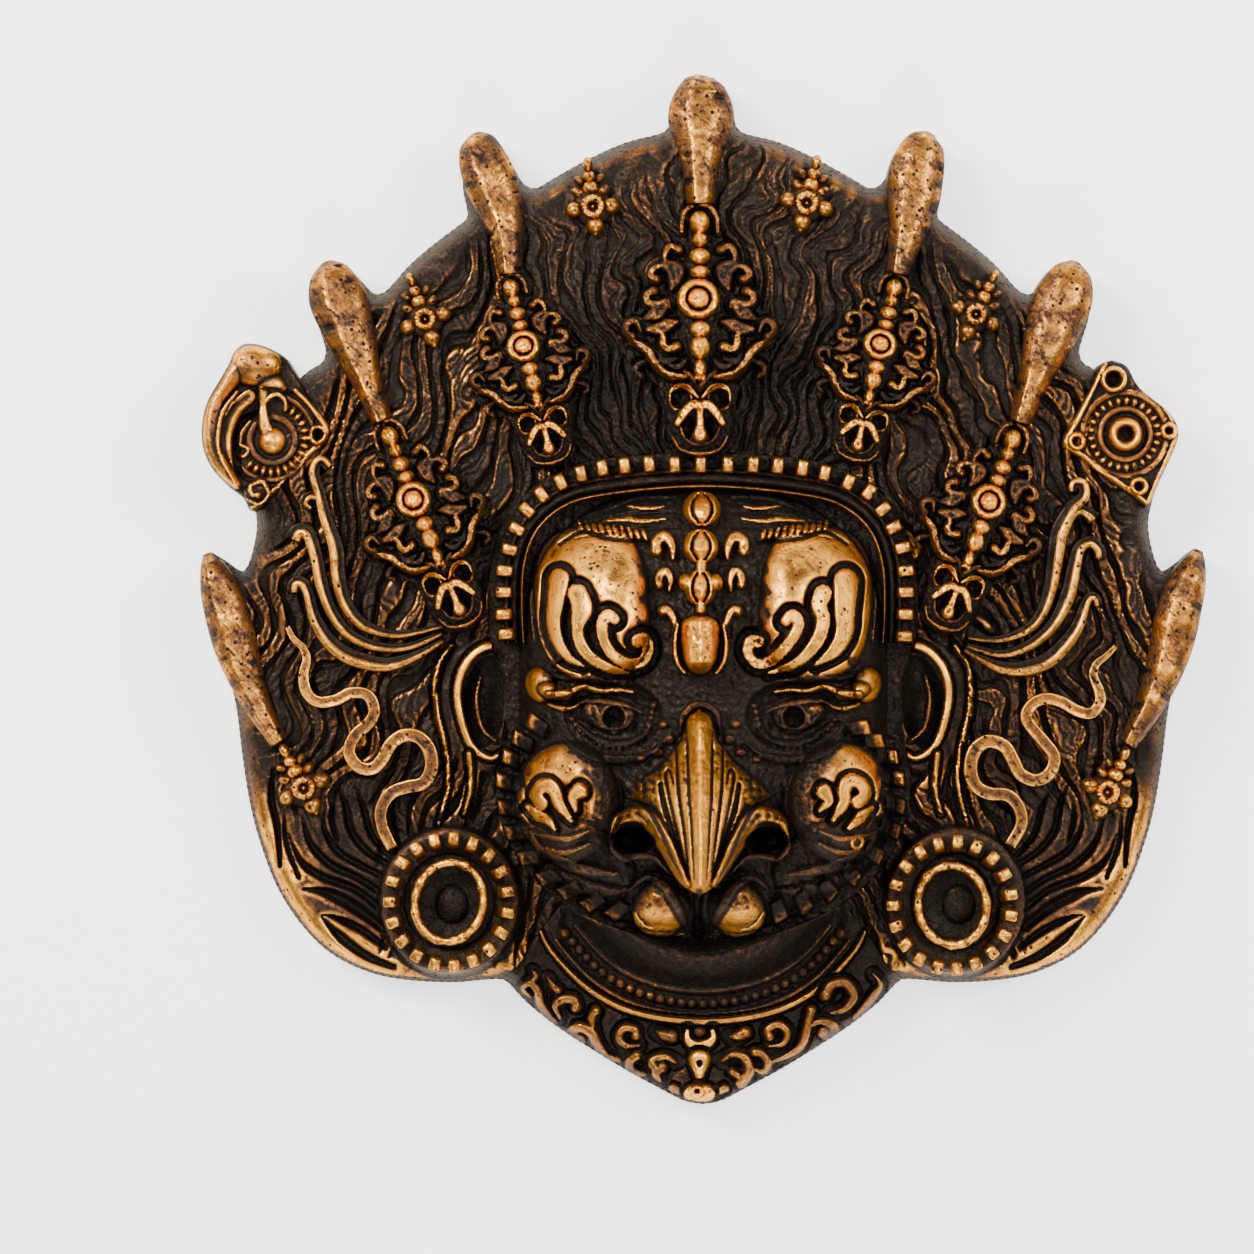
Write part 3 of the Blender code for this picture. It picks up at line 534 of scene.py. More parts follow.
# Where the parts of the face meet: round the head, down the upper blades, and beside the collar.
# These lines run in the deepest grooves and under the crown's leaves, where no join shows.
HEAD_EDGE = [
    (0.0, 16.6), (7.0, 16.4), (14.6, 15.4), (20.6, 12.6), (24.6, 7.6), (26.3, 0.0), (25.9, -6.6),
    (24.2, -11.0), (24.4, -17.0), (25.4, -23.0), (24.6, -29.0), (21.6, -34.4), (17.2, -38.4),
    (12.6, -40.8), (7.0, -42.4), (0.0, -42.9),
]
BLADE_SEAM = [(28.1, 55.8), (26.4, 49.0), (23.6, 39.0), (20.8, 27.5), (18.2, 14.0)]
COLLAR_SEAM = [(17.2, -38.4), (20.4, -42.6), (22.6, -46.0), (25.0, -48.0)]
GRAIN = 0.225
BACK_GRAIN = 1.4


def nearest(path, spot):
    return int(np.argmin(np.hypot(*(path - spot).T)))


def joined(*paths):
    """Paths laid end to end as one loop, each ending where the next starts."""
    return np.vstack([path[:-1] for path in paths])


half_edge = spaced(curve_through(OUTLINE), GRAIN)
half_head = spaced(curve_through(HEAD_EDGE), GRAIN)
tip, notch = nearest(half_edge, BLADE_SEAM[0]), nearest(half_edge, COLLAR_SEAM[-1])
temple, jaw = nearest(half_head, BLADE_SEAM[-1]), nearest(half_head, COLLAR_SEAM[0])
blade_seam = spaced(
    curve_through([tuple(half_edge[tip]), *BLADE_SEAM[1:-1], tuple(half_head[temple])]), GRAIN,
)
collar_seam = spaced(
    curve_through([tuple(half_head[jaw]), *COLLAR_SEAM[1:-1], tuple(half_edge[notch])]), GRAIN,
)
LEFT = np.array([-1, 1])
crown_loop = joined(
    half_edge[: tip + 1], blade_seam, half_head[temple::-1], (half_head * LEFT)[: temple + 1],
    (blade_seam * LEFT)[::-1], (half_edge * LEFT)[tip::-1],
)
wing_loop = joined(
    half_edge[tip : notch + 1], collar_seam[::-1], half_head[jaw : temple - 1 : -1], blade_seam[::-1],
)
collar_loop = joined(
    half_head[jaw:], (half_head * LEFT)[: jaw - 1 : -1], collar_seam * LEFT, (half_edge * LEFT)[notch:],
    half_edge[: notch - 1 : -1], collar_seam[::-1],
)
head_loop = joined(half_head, (half_head * LEFT)[::-1])

# The hair: long wavy locks that rise from the headband to the rim, cut into the plate.
# They run between the crown's leaves, taper to points and leave a bare band under the rim; round the foot of
# each leaf the hair is darkened with painted shadow.
LOCK_WIDTH = 2.3
LOCK_DEPTH = 1.2
STROKE_WIDTH = 1.05
SHADED_SPOTS = [(-0.4, 26.0), (-19.6, 21.5), (19.6, 21.5), (-31.2, 1.5), (31.0, 1.2)]


def comb(carving):
    """Cuts the crown's locks: each lies along a wavy ray and is made of flames that taper to points. Round
    the crown's leaves it darkens the hair with painted shadow.
    """
    x, y = carving.x, carving.y + 16.0
    far, angle = np.hypot(x, y), np.arctan2(x, y)
    sway = 1.15 * np.sin(far * 0.42 + 2.3 * np.sin(angle * 5.0)) + 0.4 * np.sin(far * 0.84 + angle * 13.0)
    sway += 0.7 * swells(carving.x, carving.y, 7.0, 4)
    across_locks = (angle * 54.0 + sway) / LOCK_WIDTH
    lock = np.floor(across_locks)
    side = across_locks - lock - 0.5
    luck = np.modf(np.abs(np.sin(lock * 12.9898) * 43758.5453))[0]
    other = np.modf(np.abs(np.sin(lock * 78.233) * 12543.123))[0]
    along = (far + 29.0 * luck) / (18.0 + 9.0 * other)
    flame = along - np.floor(along)
    half = (0.36 + 0.13 * other) * np.clip(np.sin(math.pi * flame), 0, 1) ** 0.4
    inside = smooth_step(half - abs(side), -0.02, 0.12)
    near = from_edge(carving.x, carving.y)
    bare = smooth_step(near + 3.0 * luck + 1.6 * np.sin(angle * 9), 4.0, 7.5)
    deep = LOCK_DEPTH * (0.5 + 0.4 * smooth_step(near, 5.0, 17.0)) * (0.75 + 0.5 * luck)
    carving.z -= deep * (1 - inside) * bare
    fine = angle * 54.0 / 0.95 + 1.1 * sway + 0.6 * swells(carving.x, carving.y, 3.2, 14)
    carving.z -= 0.3 * smooth_step(abs(fine - np.floor(fine) - 0.5), 0.26, 0.44) * inside * bare
    parting = 0.35 * inside * bare * smooth_step(abs(side + 0.06), 0.08, 0.0) * (other > 0.45)
    carving.z += 0.5 * (luck - 0.5) * inside * bare - parting
    worn_edge = smooth_step(abs(side) - half, -0.16, -0.06) * smooth_step(abs(side) - half, 0.05, -0.02)
    rubbed = 0.075 + 0.08 * (1 - bare) + 0.05 * (other > 0.55) * inside
    carving.bright += rubbed + 0.13 * worn_edge * bare * (luck > 0.35)
    # Painted shadow: the hair round the foot of each crown leaf is darkened, as if the standing leaf shaded
    # it.
    for spot_x, spot_y in SHADED_SPOTS:
        off = np.hypot((carving.x - spot_x) / 10.5, (carving.y - spot_y) / 12.0)
        carving.bright *= 0.2 + 0.8 * smooth_step(off, 0.8, 1.3)


crown = Carving(crown_loop, GRAIN, halo_height)
comb(crown)
crown.z += 0.10 * swells(crown.x, crown.y, 3.0, 3)
rounded(crown)
crown_piece = Metal("hair_crown")
crown_piece.add_carving(crown, underside, BACK_GRAIN)
crown_piece = crown_piece.make(bronze)
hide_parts("garuda_mask")

# The wings: the plate on each side of the head, with the ear, the locks round it and the lower lobe.
# The lobe keeps a broad rubbed border, and long pointed grooves sweep into it from the earring.
LOBE_GROOVES = [
    ([(38.0, -46.4), (41.4, -45.0), (44.6, -42.6), (46.8, -40.2)], 0.75),
    ([(38.9, -44.0), (42.0, -41.8), (45.2, -40.3), (46.6, -40.0)], 0.55),
    ([(39.4, -41.6), (42.8, -39.0), (46.4, -37.2), (49.2, -36.8)], 0.85),
    ([(39.6, -39.2), (42.8, -36.8), (46.6, -35.4), (49.4, -33.4), (50.9, -30.0)], 0.6),
    ([(39.6, -37.2), (42.4, -35.4), (45.8, -33.8), (48.2, -31.2), (49.2, -27.8)], 0.6),
    ([(39.4, -35.2), (42.2, -33.8), (44.8, -32.2), (46.4, -29.6), (46.6, -27.4)], 0.55),
    ([(39.0, -33.6), (41.4, -32.0), (43.2, -29.6), (43.8, -26.6), (45.0, -23.6)], 0.6),
    ([(38.6, -32.6), (40.6, -30.2), (41.6, -27.0), (42.6, -24.4)], 0.45),
    ([(51.9, -34.0), (52.2, -29.6), (53.0, -25.4), (52.6, -21.6)], 0.5),
    ([(49.6, -35.4), (51.2, -31.0), (51.4, -27.8)], 0.4),
    ([(44.9, -31.0), (45.6, -28.2), (45.4, -26.2)], 0.4),
]
EAR_RIM = [
    (24.5, -19.9), (26.0, -20.7), (28.1, -19.4), (29.3, -16.8), (30.0, -13.0), (29.4, -9.9), (27.6, -7.6),
    (25.4, -6.9), (23.9, -8.6), (23.6, -11.3),
]
EAR_OUTER = [(30.8, -6.9), (32.5, -9.7), (32.7, -14.4), (31.6, -19.1), (31.2, -23.7), (32.4, -28.9)]
EAR_LOBE = [(28.6, -20.2), (28.4, -24.2), (29.2, -27.6)]
EAR_INNER = [(25.3, -18.6), (27.0, -17.0), (27.7, -13.6), (27.2, -10.8)]
EARRING = (31.0, -38.2)


def on_side(side, points, middle=0.0):
    """Points that are given for the right side, laid on that side of a middle line."""
    return [(middle + side * x, y) for x, y in points]


def ear(carving, side):
    """The ear's shell, with a folded rim round a deep hollow and a lobe that runs down to the earring."""
    carving.mound(side * 27.4, -14.6, 5.2, 8.6, 1.2)
    carving.settle()
    carving.mound(side * 26.7, -13.8, 2.9, 5.9, -3.0, turn=side * 8, bright=0.03)
    for points, widths, height, bright in (
        (EAR_RIM, [0.2, 0.4, 0.46, 0.5, 0.55, 0.55, 0.55, 0.5, 0.4], 1.7, 0.72),
        (EAR_OUTER, [0.2, 0.34, 0.36, 0.3, 0.3, 0.15], 1.1, 0.42),
        (EAR_LOBE, [0.4, 0.34, 0.2], 1.2, 0.42),
        (EAR_INNER, [0.15, 0.3, 0.15], 0.7, 0.2),
    ):
        carving.line(on_side(side, points), widths, height, flat=0.5, bright=bright, moat=0.45)


def strands(carving, side):
    """Cuts flowing locks like the grain of wood, which fork, close and run down to the ear."""
    x, y = side * carving.x, carving.y
    run = (0.88 * x + 0.30 * y) / LOCK_WIDTH
    run += 0.68 * swells(x, y, 13.0, 51 + side) + 0.20 * swells(x, y, 6.5, 61 + side)
    lock = np.floor(run)
    luck = np.modf(np.abs(np.sin(lock * 12.9898 + 3.0) * 43758.5453))[0]
    gap = abs(run - lock - 0.5) + 0.07 * swells(x, y, 4.2, 71 + side)
    cut = smooth_step(gap, 0.24, 0.40)
    bare = smooth_step(from_edge(carving.x, carving.y) + 2.2 * luck, 3.2, 6.0)
    bare *= 1 - smooth_step(y, -24.0, -30.0) * smooth_step(x, 38.0, 41.0)
    bare *= smooth_step(np.hypot(x - EARRING[0], y - EARRING[1]), 8.4, 10.0)
    bare *= smooth_step(((x - 27.0) / 5.6) ** 2 + ((y + 14.2) / 8.6) ** 2, 0.8, 1.1)
    carving.z -= LOCK_DEPTH * (0.7 + 0.5 * luck) * cut * bare
    carving.z += 0.35 * (luck - 0.5) * (1 - cut) * bare
    fine = 0.86 * x + 0.34 * y + 1.3 * swells(x, y, 8.0, 81 + side) + 0.5 * swells(x, y, 3.4, 91 + side)
    fine /= STROKE_WIDTH
    carving.z -= 0.32 * smooth_step(abs(fine - np.floor(fine) - 0.5), 0.26, 0.44) * (1 - cut) * bare
    worn_edge = smooth_step(gap, 0.15, 0.23) * smooth_step(gap, 0.33, 0.26)
    carving.bright += 0.19 * worn_edge * bare * (luck > 0.3) + 0.07 * (1 - cut) * (luck > 0.55)


def wing(name, side):
    carving = Carving(wing_loop if side > 0 else (wing_loop * LEFT)[::-1], GRAIN, halo_height)
    near = from_edge(carving.x, carving.y)
    carving.z += 0.08 * swells(carving.x, carving.y, 5.0, 11)
    carving.bright += 0.085 + 0.13 * smooth_step(near, 3.4, 1.0) * smooth_step(carving.y, 4.0, -18.0)
    strands(carving, side)
    lobe = smooth_step(near, 7.5, 2.0) * smooth_step(carving.y, -20.0, -36.0)
    carving.bright += 0.29 * lobe
    carving.z += 0.6 * lobe
    for points, width in LOBE_GROOVES:
        carving.groove(on_side(side, points), [width * 0.7, width, width, 0.1], 1.5, bright=0.0)
    carving.settle()
    ear(carving, side)
    carving.settle()
    x, y = side * EARRING[0], EARRING[1]
    carving.bead(x, y, 9.0, 9.4, 2.6, bright=0.05)
    carving.mound(x, y, 4.4, 5.0, -1.8, blunt=0.4, bright=0.03)
    carving.mound(x + 0.3, y - 0.4, 2.0, 2.4, 0.9, bright=0.09)
    carving.ring(x, y, 7.0, 1.5, 0.7, seat=2.3, bright=0.1, squash=1.06)
    rounded(carving)
    piece = Metal(name)
    piece.add_carving(carving, underside, BACK_GRAIN)
    return piece.make(bronze)


wing("wing_right", 1)
wing("wing_left", -1)

# The head: brows, eyes, cheeks, beak and chin of the garuda, in high relief on a dome.
# Brows, cheeks and beak stand furthest out, so they're rubbed to bright bronze; the rest is dark.
HEAD_GRAIN = 0.184
FACE_MIDDLE = -0.5
NOSE_MIDDLE = -0.45
BEAK_MIDDLE = -0.55
BROW_LINES = [
    ([(4.6, 8.5), (7.4, 8.2), (9.6, 8.5), (12.6, 8.3)], [0.1, 0.3, 0.4, 0.1], 0.9, 0.6),
    ([(4.9, 10.0), (6.6, 9.8), (9.4, 10.1)], [0.1, 0.3, 0.1], 0.7, 0.45),
    ([(20.0, 5.2), (20.8, 2.0), (21.0, -2.0), (20.6, -6.4)], [0.1, 0.25, 0.1], 0.7, 0.22),
]
LID_LINES = [
    ([(18.8, -12.9), (16.6, -12.6), (14.6, -11.9), (12.6, -12.4), (10.6, -12.3), (8.6, -12.5)],
     [0.5, 0.42, 0.38, 0.2], 1.3, 0.36),
    ([(19.4, -10.2), (16.8, -10.9), (12.8, -10.9), (8.8, -11.1)], [0.2, 0.4, 0.2], 0.8, 0.12),
    ([(18.8, -14.0), (16.8, -14.6), (15.2, -14.1)], [0.3, 0.35, 0.2], 1.0, 0.3),
]
EYE_LINES = [
    ([(14.7, -14.1), (13.4, -14.7), (12.8, -15.7), (12.4, -16.4)], [0.2, 0.8, 0.5, 0.2], 0.3, 0.2),
    ([(9.3, -14.9), (8.7, -15.1), (8.3, -14.9)], [0.45, 0.35, 0.15], 0.25, 0.12),
    (
        [(15.3, -13.9), (13.4, -13.5), (11.2, -13.8), (9.0, -14.2), (7.6, -15.0)], [0.2, 0.36, 0.36, 0.2],
        1.0, 0.14,
    ),
    (
        [(14.2, -15.0), (12.9, -16.5), (11.2, -17.4), (9.5, -16.9), (8.6, -15.6)],
        [0.15, 0.28, 0.28, 0.15], 0.6, 0.06,
    ),
]
EYE = (10.9, -15.6)
EYE_ROPE = [(6.2, -14.2), (7.0, -17.0), (9.2, -18.9), (12.0, -19.1), (14.4, -17.6), (16.0, -15.9)]
EYE_FOLD = [(15.4, -16.2), (13.4, -18.0), (10.8, -18.8), (8.0, -18.2), (6.4, -16.6)]
CHEEK_LINES = [
    ([(20.6, -29.8), (17.6, -30.2), (16.2, -30.2), (13.8, -29.2)], [0.15, 0.38, 0.15], 0.9, 0.2),
    ([(19.6, -31.4), (16.8, -32.0), (13.8, -30.8)], [0.15, 0.38, 0.15], 0.9, 0.2),
    (
        [(21.0, -29.6), (20.2, -31.4), (18.2, -32.8), (14.0, -34.2), (10.4, -34.6)],
        [0.2, 0.7, 0.8, 0.7, 0.2], 1.0, 0.12,
    ),
    ([(19.4, -34.0), (15.6, -36.0), (11.4, -36.9), (8.9, -36.6)], [0.2, 0.8, 0.8, 0.2], 1.2, 0.1),
]
CHIN_LINES = [
    ([(7.9, -39.6), (6.9, -41.3), (4.6, -42.2), (2.0, -42.1)], [0.3, 0.55, 0.5, 0.3], 0.5, 0.7),
    (
        [(1.3, -42.0), (2.6, -38.6), (4.4, -35.8), (6.6, -35.2), (8.4, -36.6)],
        [0.15, 0.5, 0.6, 0.5, 0.2], 1.4, 0.1,
    ),
]
JEWEL_HOOKS = [
    ([(3.3, 3.7), (3.4, 5.2), (4.2, 6.3), (5.2, 5.8), (5.3, 4.6)], 0.72, 1.8, 1.1, 0.5),
    ([(3.7, -0.2), (3.6, 1.1), (4.1, 2.1), (4.9, 1.6), (5.0, 0.5)], 0.60, 1.6, 1.1, 0.4),
    ([(2.8, -5.2), (3.3, -3.6), (4.0, -2.5), (4.6, -2.7)], 0.55, 1.8, 1.2, 0.5),
]
BROW_FLAMES = [
    (
        [(-17.5, 1.2), (-17.9, -1.5), (-18.2, -4.1), (-17.6, -6.6), (-16.3, -8.4), (-14.6, -9.3)],
        [1.2, 1.0, 0.85, 0.7, 0.5, 0.1],
    ),
    (
        [
            (-15.3, -0.6), (-14.7, -2.3), (-15.2, -4.5), (-15.0, -6.4), (-13.8, -8.2), (-11.7, -9.5),
            (-9.2, -10.2),
        ],
        [1.15, 1.25, 0.65, 0.65, 0.6, 0.5, 0.15],
    ),
    (
        [
            (-10.8, -3.7), (-11.6, -3.2), (-12.3, -4.4), (-12.0, -6.4), (-10.9, -8.1), (-9.1, -9.1),
            (-7.4, -8.8), (-6.7, -7.3), (-7.2, -6.1), (-8.0, -6.3),
        ],
        [0.6, 0.75, 0.65, 0.55, 0.6, 0.62, 0.62, 0.6, 0.7, 0.75],
    ),
    ([(17.2, 0.9), (17.0, -2.4), (16.9, -5.2), (15.8, -7.4), (13.4, -9.2)], [1.5, 1.3, 1.1, 0.8, 0.15]),
    (
        [
            (14.3, -0.6), (13.8, -2.0), (14.3, -3.6), (14.0, -5.4), (12.8, -7.4), (10.9, -9.1),
            (7.9, -10.2),
        ],
        [1.05, 0.85, 0.8, 0.75, 0.6, 0.45, 0.12],
    ),
    (
        [
            (9.8, -3.9), (10.6, -3.2), (11.3, -4.2), (10.7, -5.8), (9.4, -7.5), (7.9, -8.8), (6.3, -9.0),
            (5.3, -7.7), (5.6, -6.4), (6.4, -6.4),
        ],
        [0.6, 0.7, 0.65, 0.6, 0.6, 0.6, 0.6, 0.6, 0.7, 0.75],
    ),
]
CHEEK_CURLS = [
    (
        [(-19.7, -26.0), (-20.3, -25.0), (-19.4, -23.8), (-18.2, -24.3), (-17.4, -26.2), (-16.0, -28.0)],
        [0.85, 0.8, 0.9, 0.75, 0.6, 0.25],
    ),
    ([(-15.0, -24.4), (-15.8, -25.2), (-15.5, -26.8)], [0.95, 0.6, 0.25]),
    ([(-21.3, -26.6), (-20.0, -27.6), (-18.9, -28.0), (-18.0, -29.2)], [0.4, 0.7, 0.55, 0.15]),
    (
        [
            (18.6, -25.8), (19.5, -25.0), (19.0, -23.6), (17.6, -23.2), (16.9, -24.4), (16.9, -25.8),
            (15.6, -27.9),
        ],
        [0.85, 0.8, 0.8, 0.85, 0.8, 0.65, 0.25],
    ),
    ([(14.4, -24.5), (15.0, -25.6), (14.0, -26.8)], [0.9, 0.6, 0.25]),
    ([(20.5, -26.6), (19.1, -27.6), (17.6, -28.9)], [0.3, 0.75, 0.3]),
]
JAW_TUFTS = [
    (-20.2, -16.6), (-22.0, -18.6), (-23.2, -20.8), (-24.0, -23.6), (-23.8, -26.8), (-22.9, -29.8),
    (-21.2, -32.8), (-18.8, -35.2), (-16.2, -36.8), (-13.4, -38.2), (-10.4, -39.2), (18.8, -16.9),
    (20.6, -18.5), (22.4, -20.4), (23.2, -23.0), (23.4, -26.3), (22.8, -29.2), (20.8, -32.2),
    (18.0, -34.8), (15.2, -36.6), (12.2, -38.2), (9.2, -39.2),
]
BEAK_ROWS = [
    (-37.1, 0.2, 9.6, 0.5), (-36.4, 1.6, 13.8, 0.6), (-35.4, 2.6, 16.2, 0.65), (-33.4, 3.9, 16.8, 0.75),
    (-31.2, 5.0, 15.4, 0.85), (-29.4, 5.9, 13.2, 0.95), (-27.6, 6.8, 11.4, 1.05),
    (-26.0, 7.8, 10.0, 1.15), (-24.9, 8.7, 9.1, 1.25), (-24.0, 8.3, 8.4, 1.25), (-22.8, 6.9, 7.6, 1.15),
    (-21.4, 5.0, 6.9, 1.0), (-20.0, 3.6, 6.4, 0.8), (-18.4, 2.3, 5.9, 0.6), (-17.0, 1.9, 5.2, 0.5),
    (-15.9, 1.6, 4.0, 0.5), (-15.3, 1.2, 2.8, 0.5), (-14.8, 0.2, 1.0, 0.5),
]
NOSTRIL = (7.9, -30.4)
NOSTRIL_BAND = (
    [(10.5, -30.2), (10.0, -28.2), (8.2, -27.3), (6.4, -27.6), (4.6, -30.2), (3.2, -33.2), (1.9, -35.7)],
    [0.35, 0.75, 1.05, 1.15, 1.1, 1.0, 0.6], [0.0, 0.8, 1.8, 1.8, 2.2, 2.8, 2.6],
)
NOSTRIL_GROOVE = (
    [(8.7, -25.5), (6.5, -26.4), (5.0, -28.7), (3.6, -32.0), (2.3, -34.6)], [0.2, 0.4, 0.28, 0.2, 0.1],
)
NOSTRIL_SILL = (
    [(10.7, -29.6), (10.6, -31.4), (9.2, -32.6), (7.2, -32.4), (5.4, -32.6), (3.6, -34.6)],
    [0.25, 0.4, 0.45, 0.4, 0.3, 0.15], [0.0, 0.6, 1.0, 1.6, 3.4, 5.0],
)
BEAK_FLUTES = [
    ([(1.5, -18.4), (1.35, -24.0), (1.05, -29.0), (0.75, -34.8)], [0.15, 0.24, 0.22, 0.1], 0.9),
    ([(2.8, -19.4), (2.6, -24.0), (1.95, -29.0), (1.35, -34.0)], [0.15, 0.26, 0.24, 0.1], 0.9),
    (
        [(3.2, -23.4), (3.6, -21.9), (4.1, -22.4), (3.7, -25.0), (2.7, -29.6), (1.8, -33.4)],
        [0.15, 0.25, 0.28, 0.26, 0.24, 0.1], 0.9,
    ),
    ([(4.7, -23.6), (4.3, -25.8), (3.3, -29.2), (2.2, -32.6)], [0.35, 0.5, 0.32, 0.1], 1.3),
]


def head_ground(x, y):
    dome = dome_height(x, y)
    return halo_height(x, y) - 1.1 * smooth_step(dome, 0.2, 3.0) + dome


def forms_of_face(head):
    for side in (-1, 1):
        head.mound(side * 13.6, -1.6, 7.0, 9.4, 5.8, turn=side * -5, blunt=0.45, square=2.7, bright=0.88)
        head.mound(side * 16.6, -25.8, 6.5, 7.4, 6.2, blunt=0.5, bright=0.74)
        head.mound(side * 11.0, -15.4, 6.0, 4.4, -2.2, bright=0.0)
        head.mound(side * 19.9, -11.7, 1.9, 2.3, 3.0, turn=side * -14, blunt=0.5, bright=0.72)
        head.mound(side * 17.9, -12.5, 2.2, 1.0, 2.0, turn=side * 12, bright=0.5)
        head.mound(FACE_MIDDLE + side * 4.6, -39.0, 3.5, 3.9, 5.4, turn=side * 34, blunt=0.6, bright=0.22)
        head.mound(side * 15.2, -32.6, 7.4, 4.4, 3.0, turn=side * 24, blunt=0.6, bright=0.16)
    head.mound(-0.4, -27.5, 11.0, 8.4, 5.6, blunt=1.6)
    chin = smooth_step(head.y, -34.5, -36.0) * (1 + 1.8 * smooth_step(head.y, -38.2, -40.6))
    head.bright *= np.clip(smooth_step(head.y, -31.0, -25.0) + chin, 0.12, 4)
    inner = swells(head.x, head.y, 2.6, 6) * 0.9 + abs(head.x)
    head.bright *= np.where(head.y > -11, smooth_step(inner, 6.6, 8.6), 1)
    cheek_fade = 0.12 + 0.88 * smooth_step(inner - 0.3 * (head.y + 25), 12.2, 15.8)
    head.bright *= np.where((head.y < -18) & (head.y > -34), cheek_fade, 1)
    head.z += 0.05 * swells(head.x, head.y, 2.2, 5)
    dark = smooth_step(head.bright, 0.35, 0.15)
    head.z += (0.10 * swells(head.x, head.y, 1.3, 7) + 0.05 * swells(head.x, head.y, 0.7, 8)) * dark
    head.settle()


def lines(carving, side, rows, middle=0.0):
    """Raises lines on one side: each row holds points, half widths, a height and how bright it's rubbed."""
    for points, widths, height, bright in rows:
        carving.line(on_side(side, points, middle), widths, height, bright=bright)


def brows(head):
    for side in (-1, 1):
        for share in np.linspace(0, 1, 10):
            head.bead(
                side * (7.2 + 7.8 * share), 6.5 + 1.3 * share, 0.30, 0.85, 1.3, turn=side * -20,
                bright=0.9,
            )
        head.groove(
            on_side(side, [(6.6, 5.5), (9.0, 5.7), (12.0, 6.1), (14.8, 6.9), (17.4, 5.4)]),
            [0.2, 0.38, 0.3], 0.8, bright=0.0,
        )
        lines(head, side, BROW_LINES)
        for y, reach in ((9.3, 15.6), (11.0, 12.0), (7.4, 17.0)):
            head.groove(
                [(side * 3.4, y), (side * 8.0, y - 0.2), (side * reach, y - 1.6)], [0.2, 0.3, 0.1], 0.5,
            )
    for points, widths in BROW_FLAMES:
        head.trench(points, widths, 1.15, 1.7)
    for points, widths in BROW_FLAMES:
        head.line(points, [w + 0.05 for w in widths], 0.7, flat=0.6)


def oval_jewel(head, x, y, rx, ry, lens, top):
    """A domed oval with a dark moat on each side of a pointed bright lens."""
    head.bead(x, y, rx, ry, top, bright=0.85)
    spot, u, v = head.local(x, y, ry + 0.2, 0)
    reach = lens * np.clip(1 - (v / (ry * 0.82)) ** 2, 0, 1)
    moat = smooth_step(abs(abs(u) - reach - 0.22), 0.30, 0.10) * (abs(v) < ry * 0.78)
    head.z[spot] -= 1.1 * moat
    head.bright[spot] *= 1 - moat
    head.bright[spot[abs(u) < reach]] = 1.0


def forehead_jewel(head):
    """Stacked ovals over a ridged shield, with hooks beside them, between the brows."""
    head.line([(-0.3, 4.0), (-0.4, -2.5)], 0.7, 3.6, bright=0.85)
    oval_jewel(head, -0.2, 9.7, 2.35, 2.3, 1.0, 4.4)
    oval_jewel(head, -0.35, 5.1, 2.2, 2.25, 0.9, 4.6)
    for side in (-1, 1):
        head.bead(-0.4 + side * 1.7, 0.7, 1.05, 1.15, 3.8, bright=0.9)
    oval_jewel(head, -0.45, 0.1, 2.05, 2.35, 0.75, 4.9)
    head.settle()
    spot, u, v = head.local(-0.5, -6.6, 3.8, 0)
    half = np.interp(v, [-3.8, -3.2, -1.8, 0.4, 1.9, 2.7, 3.3], [0.7, 1.5, 2.1, 2.45, 2.5, 2.1, 1.2])
    left = 1 - abs(u) / half
    inside = (left > 0) & (v > -3.8) & (v < 3.4)
    spot, left, v = spot[inside], left[inside], v[inside]
    top = 4.4 * np.clip(left * 2.6, 0, 1) ** 0.5 + 2.0 * left
    top = top * np.clip(np.minimum((3.4 - v) / 0.8, (v + 3.8) / 1.6), 0, 1) ** 0.5
    head.raise_to(spot, head.ground[spot] + top, 1.1)
    head.bright[spot] *= 0.35 + 0.65 * smooth_step(v, -3.2, -1.4)
    for side in (-1, 1):
        head.line(
            on_side(side, [(2.75, -4.3), (3.1, -6.6), (2.8, -8.8), (1.9, -10.2)], NOSE_MIDDLE),
            [0.2, 0.3, 0.3, 0.2], 3.0, bright=0.5,
        )
        for points, width, height, bulb, bright in JEWEL_HOOKS:
            head.hook(on_side(side, points, NOSE_MIDDLE), width, height, bulb=bulb, bright=bright)


def eyes(head):
    for side in (-1, 1):
        lines(head, side, LID_LINES)
        head.bead(side * 11.5, -15.2, 3.4, 2.0, 2.0, turn=side * 6, bright=0.05)
        head.settle()
        lines(head, side, EYE_LINES)
        head.mound(side * EYE[0], EYE[1], 1.45, 1.5, -2.2, blunt=0.6)
        head.ring(side * EYE[0], EYE[1], 1.5, 0.2, 0.3, bright=0.12)
        spot, u, v = head.local(side * EYE[0], EYE[1], 1.5, 0)
        head.bright[spot[np.hypot(u, v) < 1.35]] = 0.0
        rope = spaced(curve_through(on_side(side, EYE_ROPE)), count=19)
        for x, y in rope:
            head.bead(x, y, 0.42, 0.42, 0.75, bright=0.16)
        for reach, drop, width in ((1.0, 0.0, 0.5), (1.34, 1.9, 0.6)):
            fold = [(EYE[0] + (x - EYE[0]) * reach, y - drop) for x, y in EYE_FOLD]
            head.line(on_side(side, fold), [0.15, width, width, 0.15], 1.0, bright=0.0)
        head.line(
            on_side(side, [(17.6, -8.6), (18.9, -9.6), (17.4, -10.2)]), [0.3, 0.4, 0.2], 0.7, bright=0.1,
        )


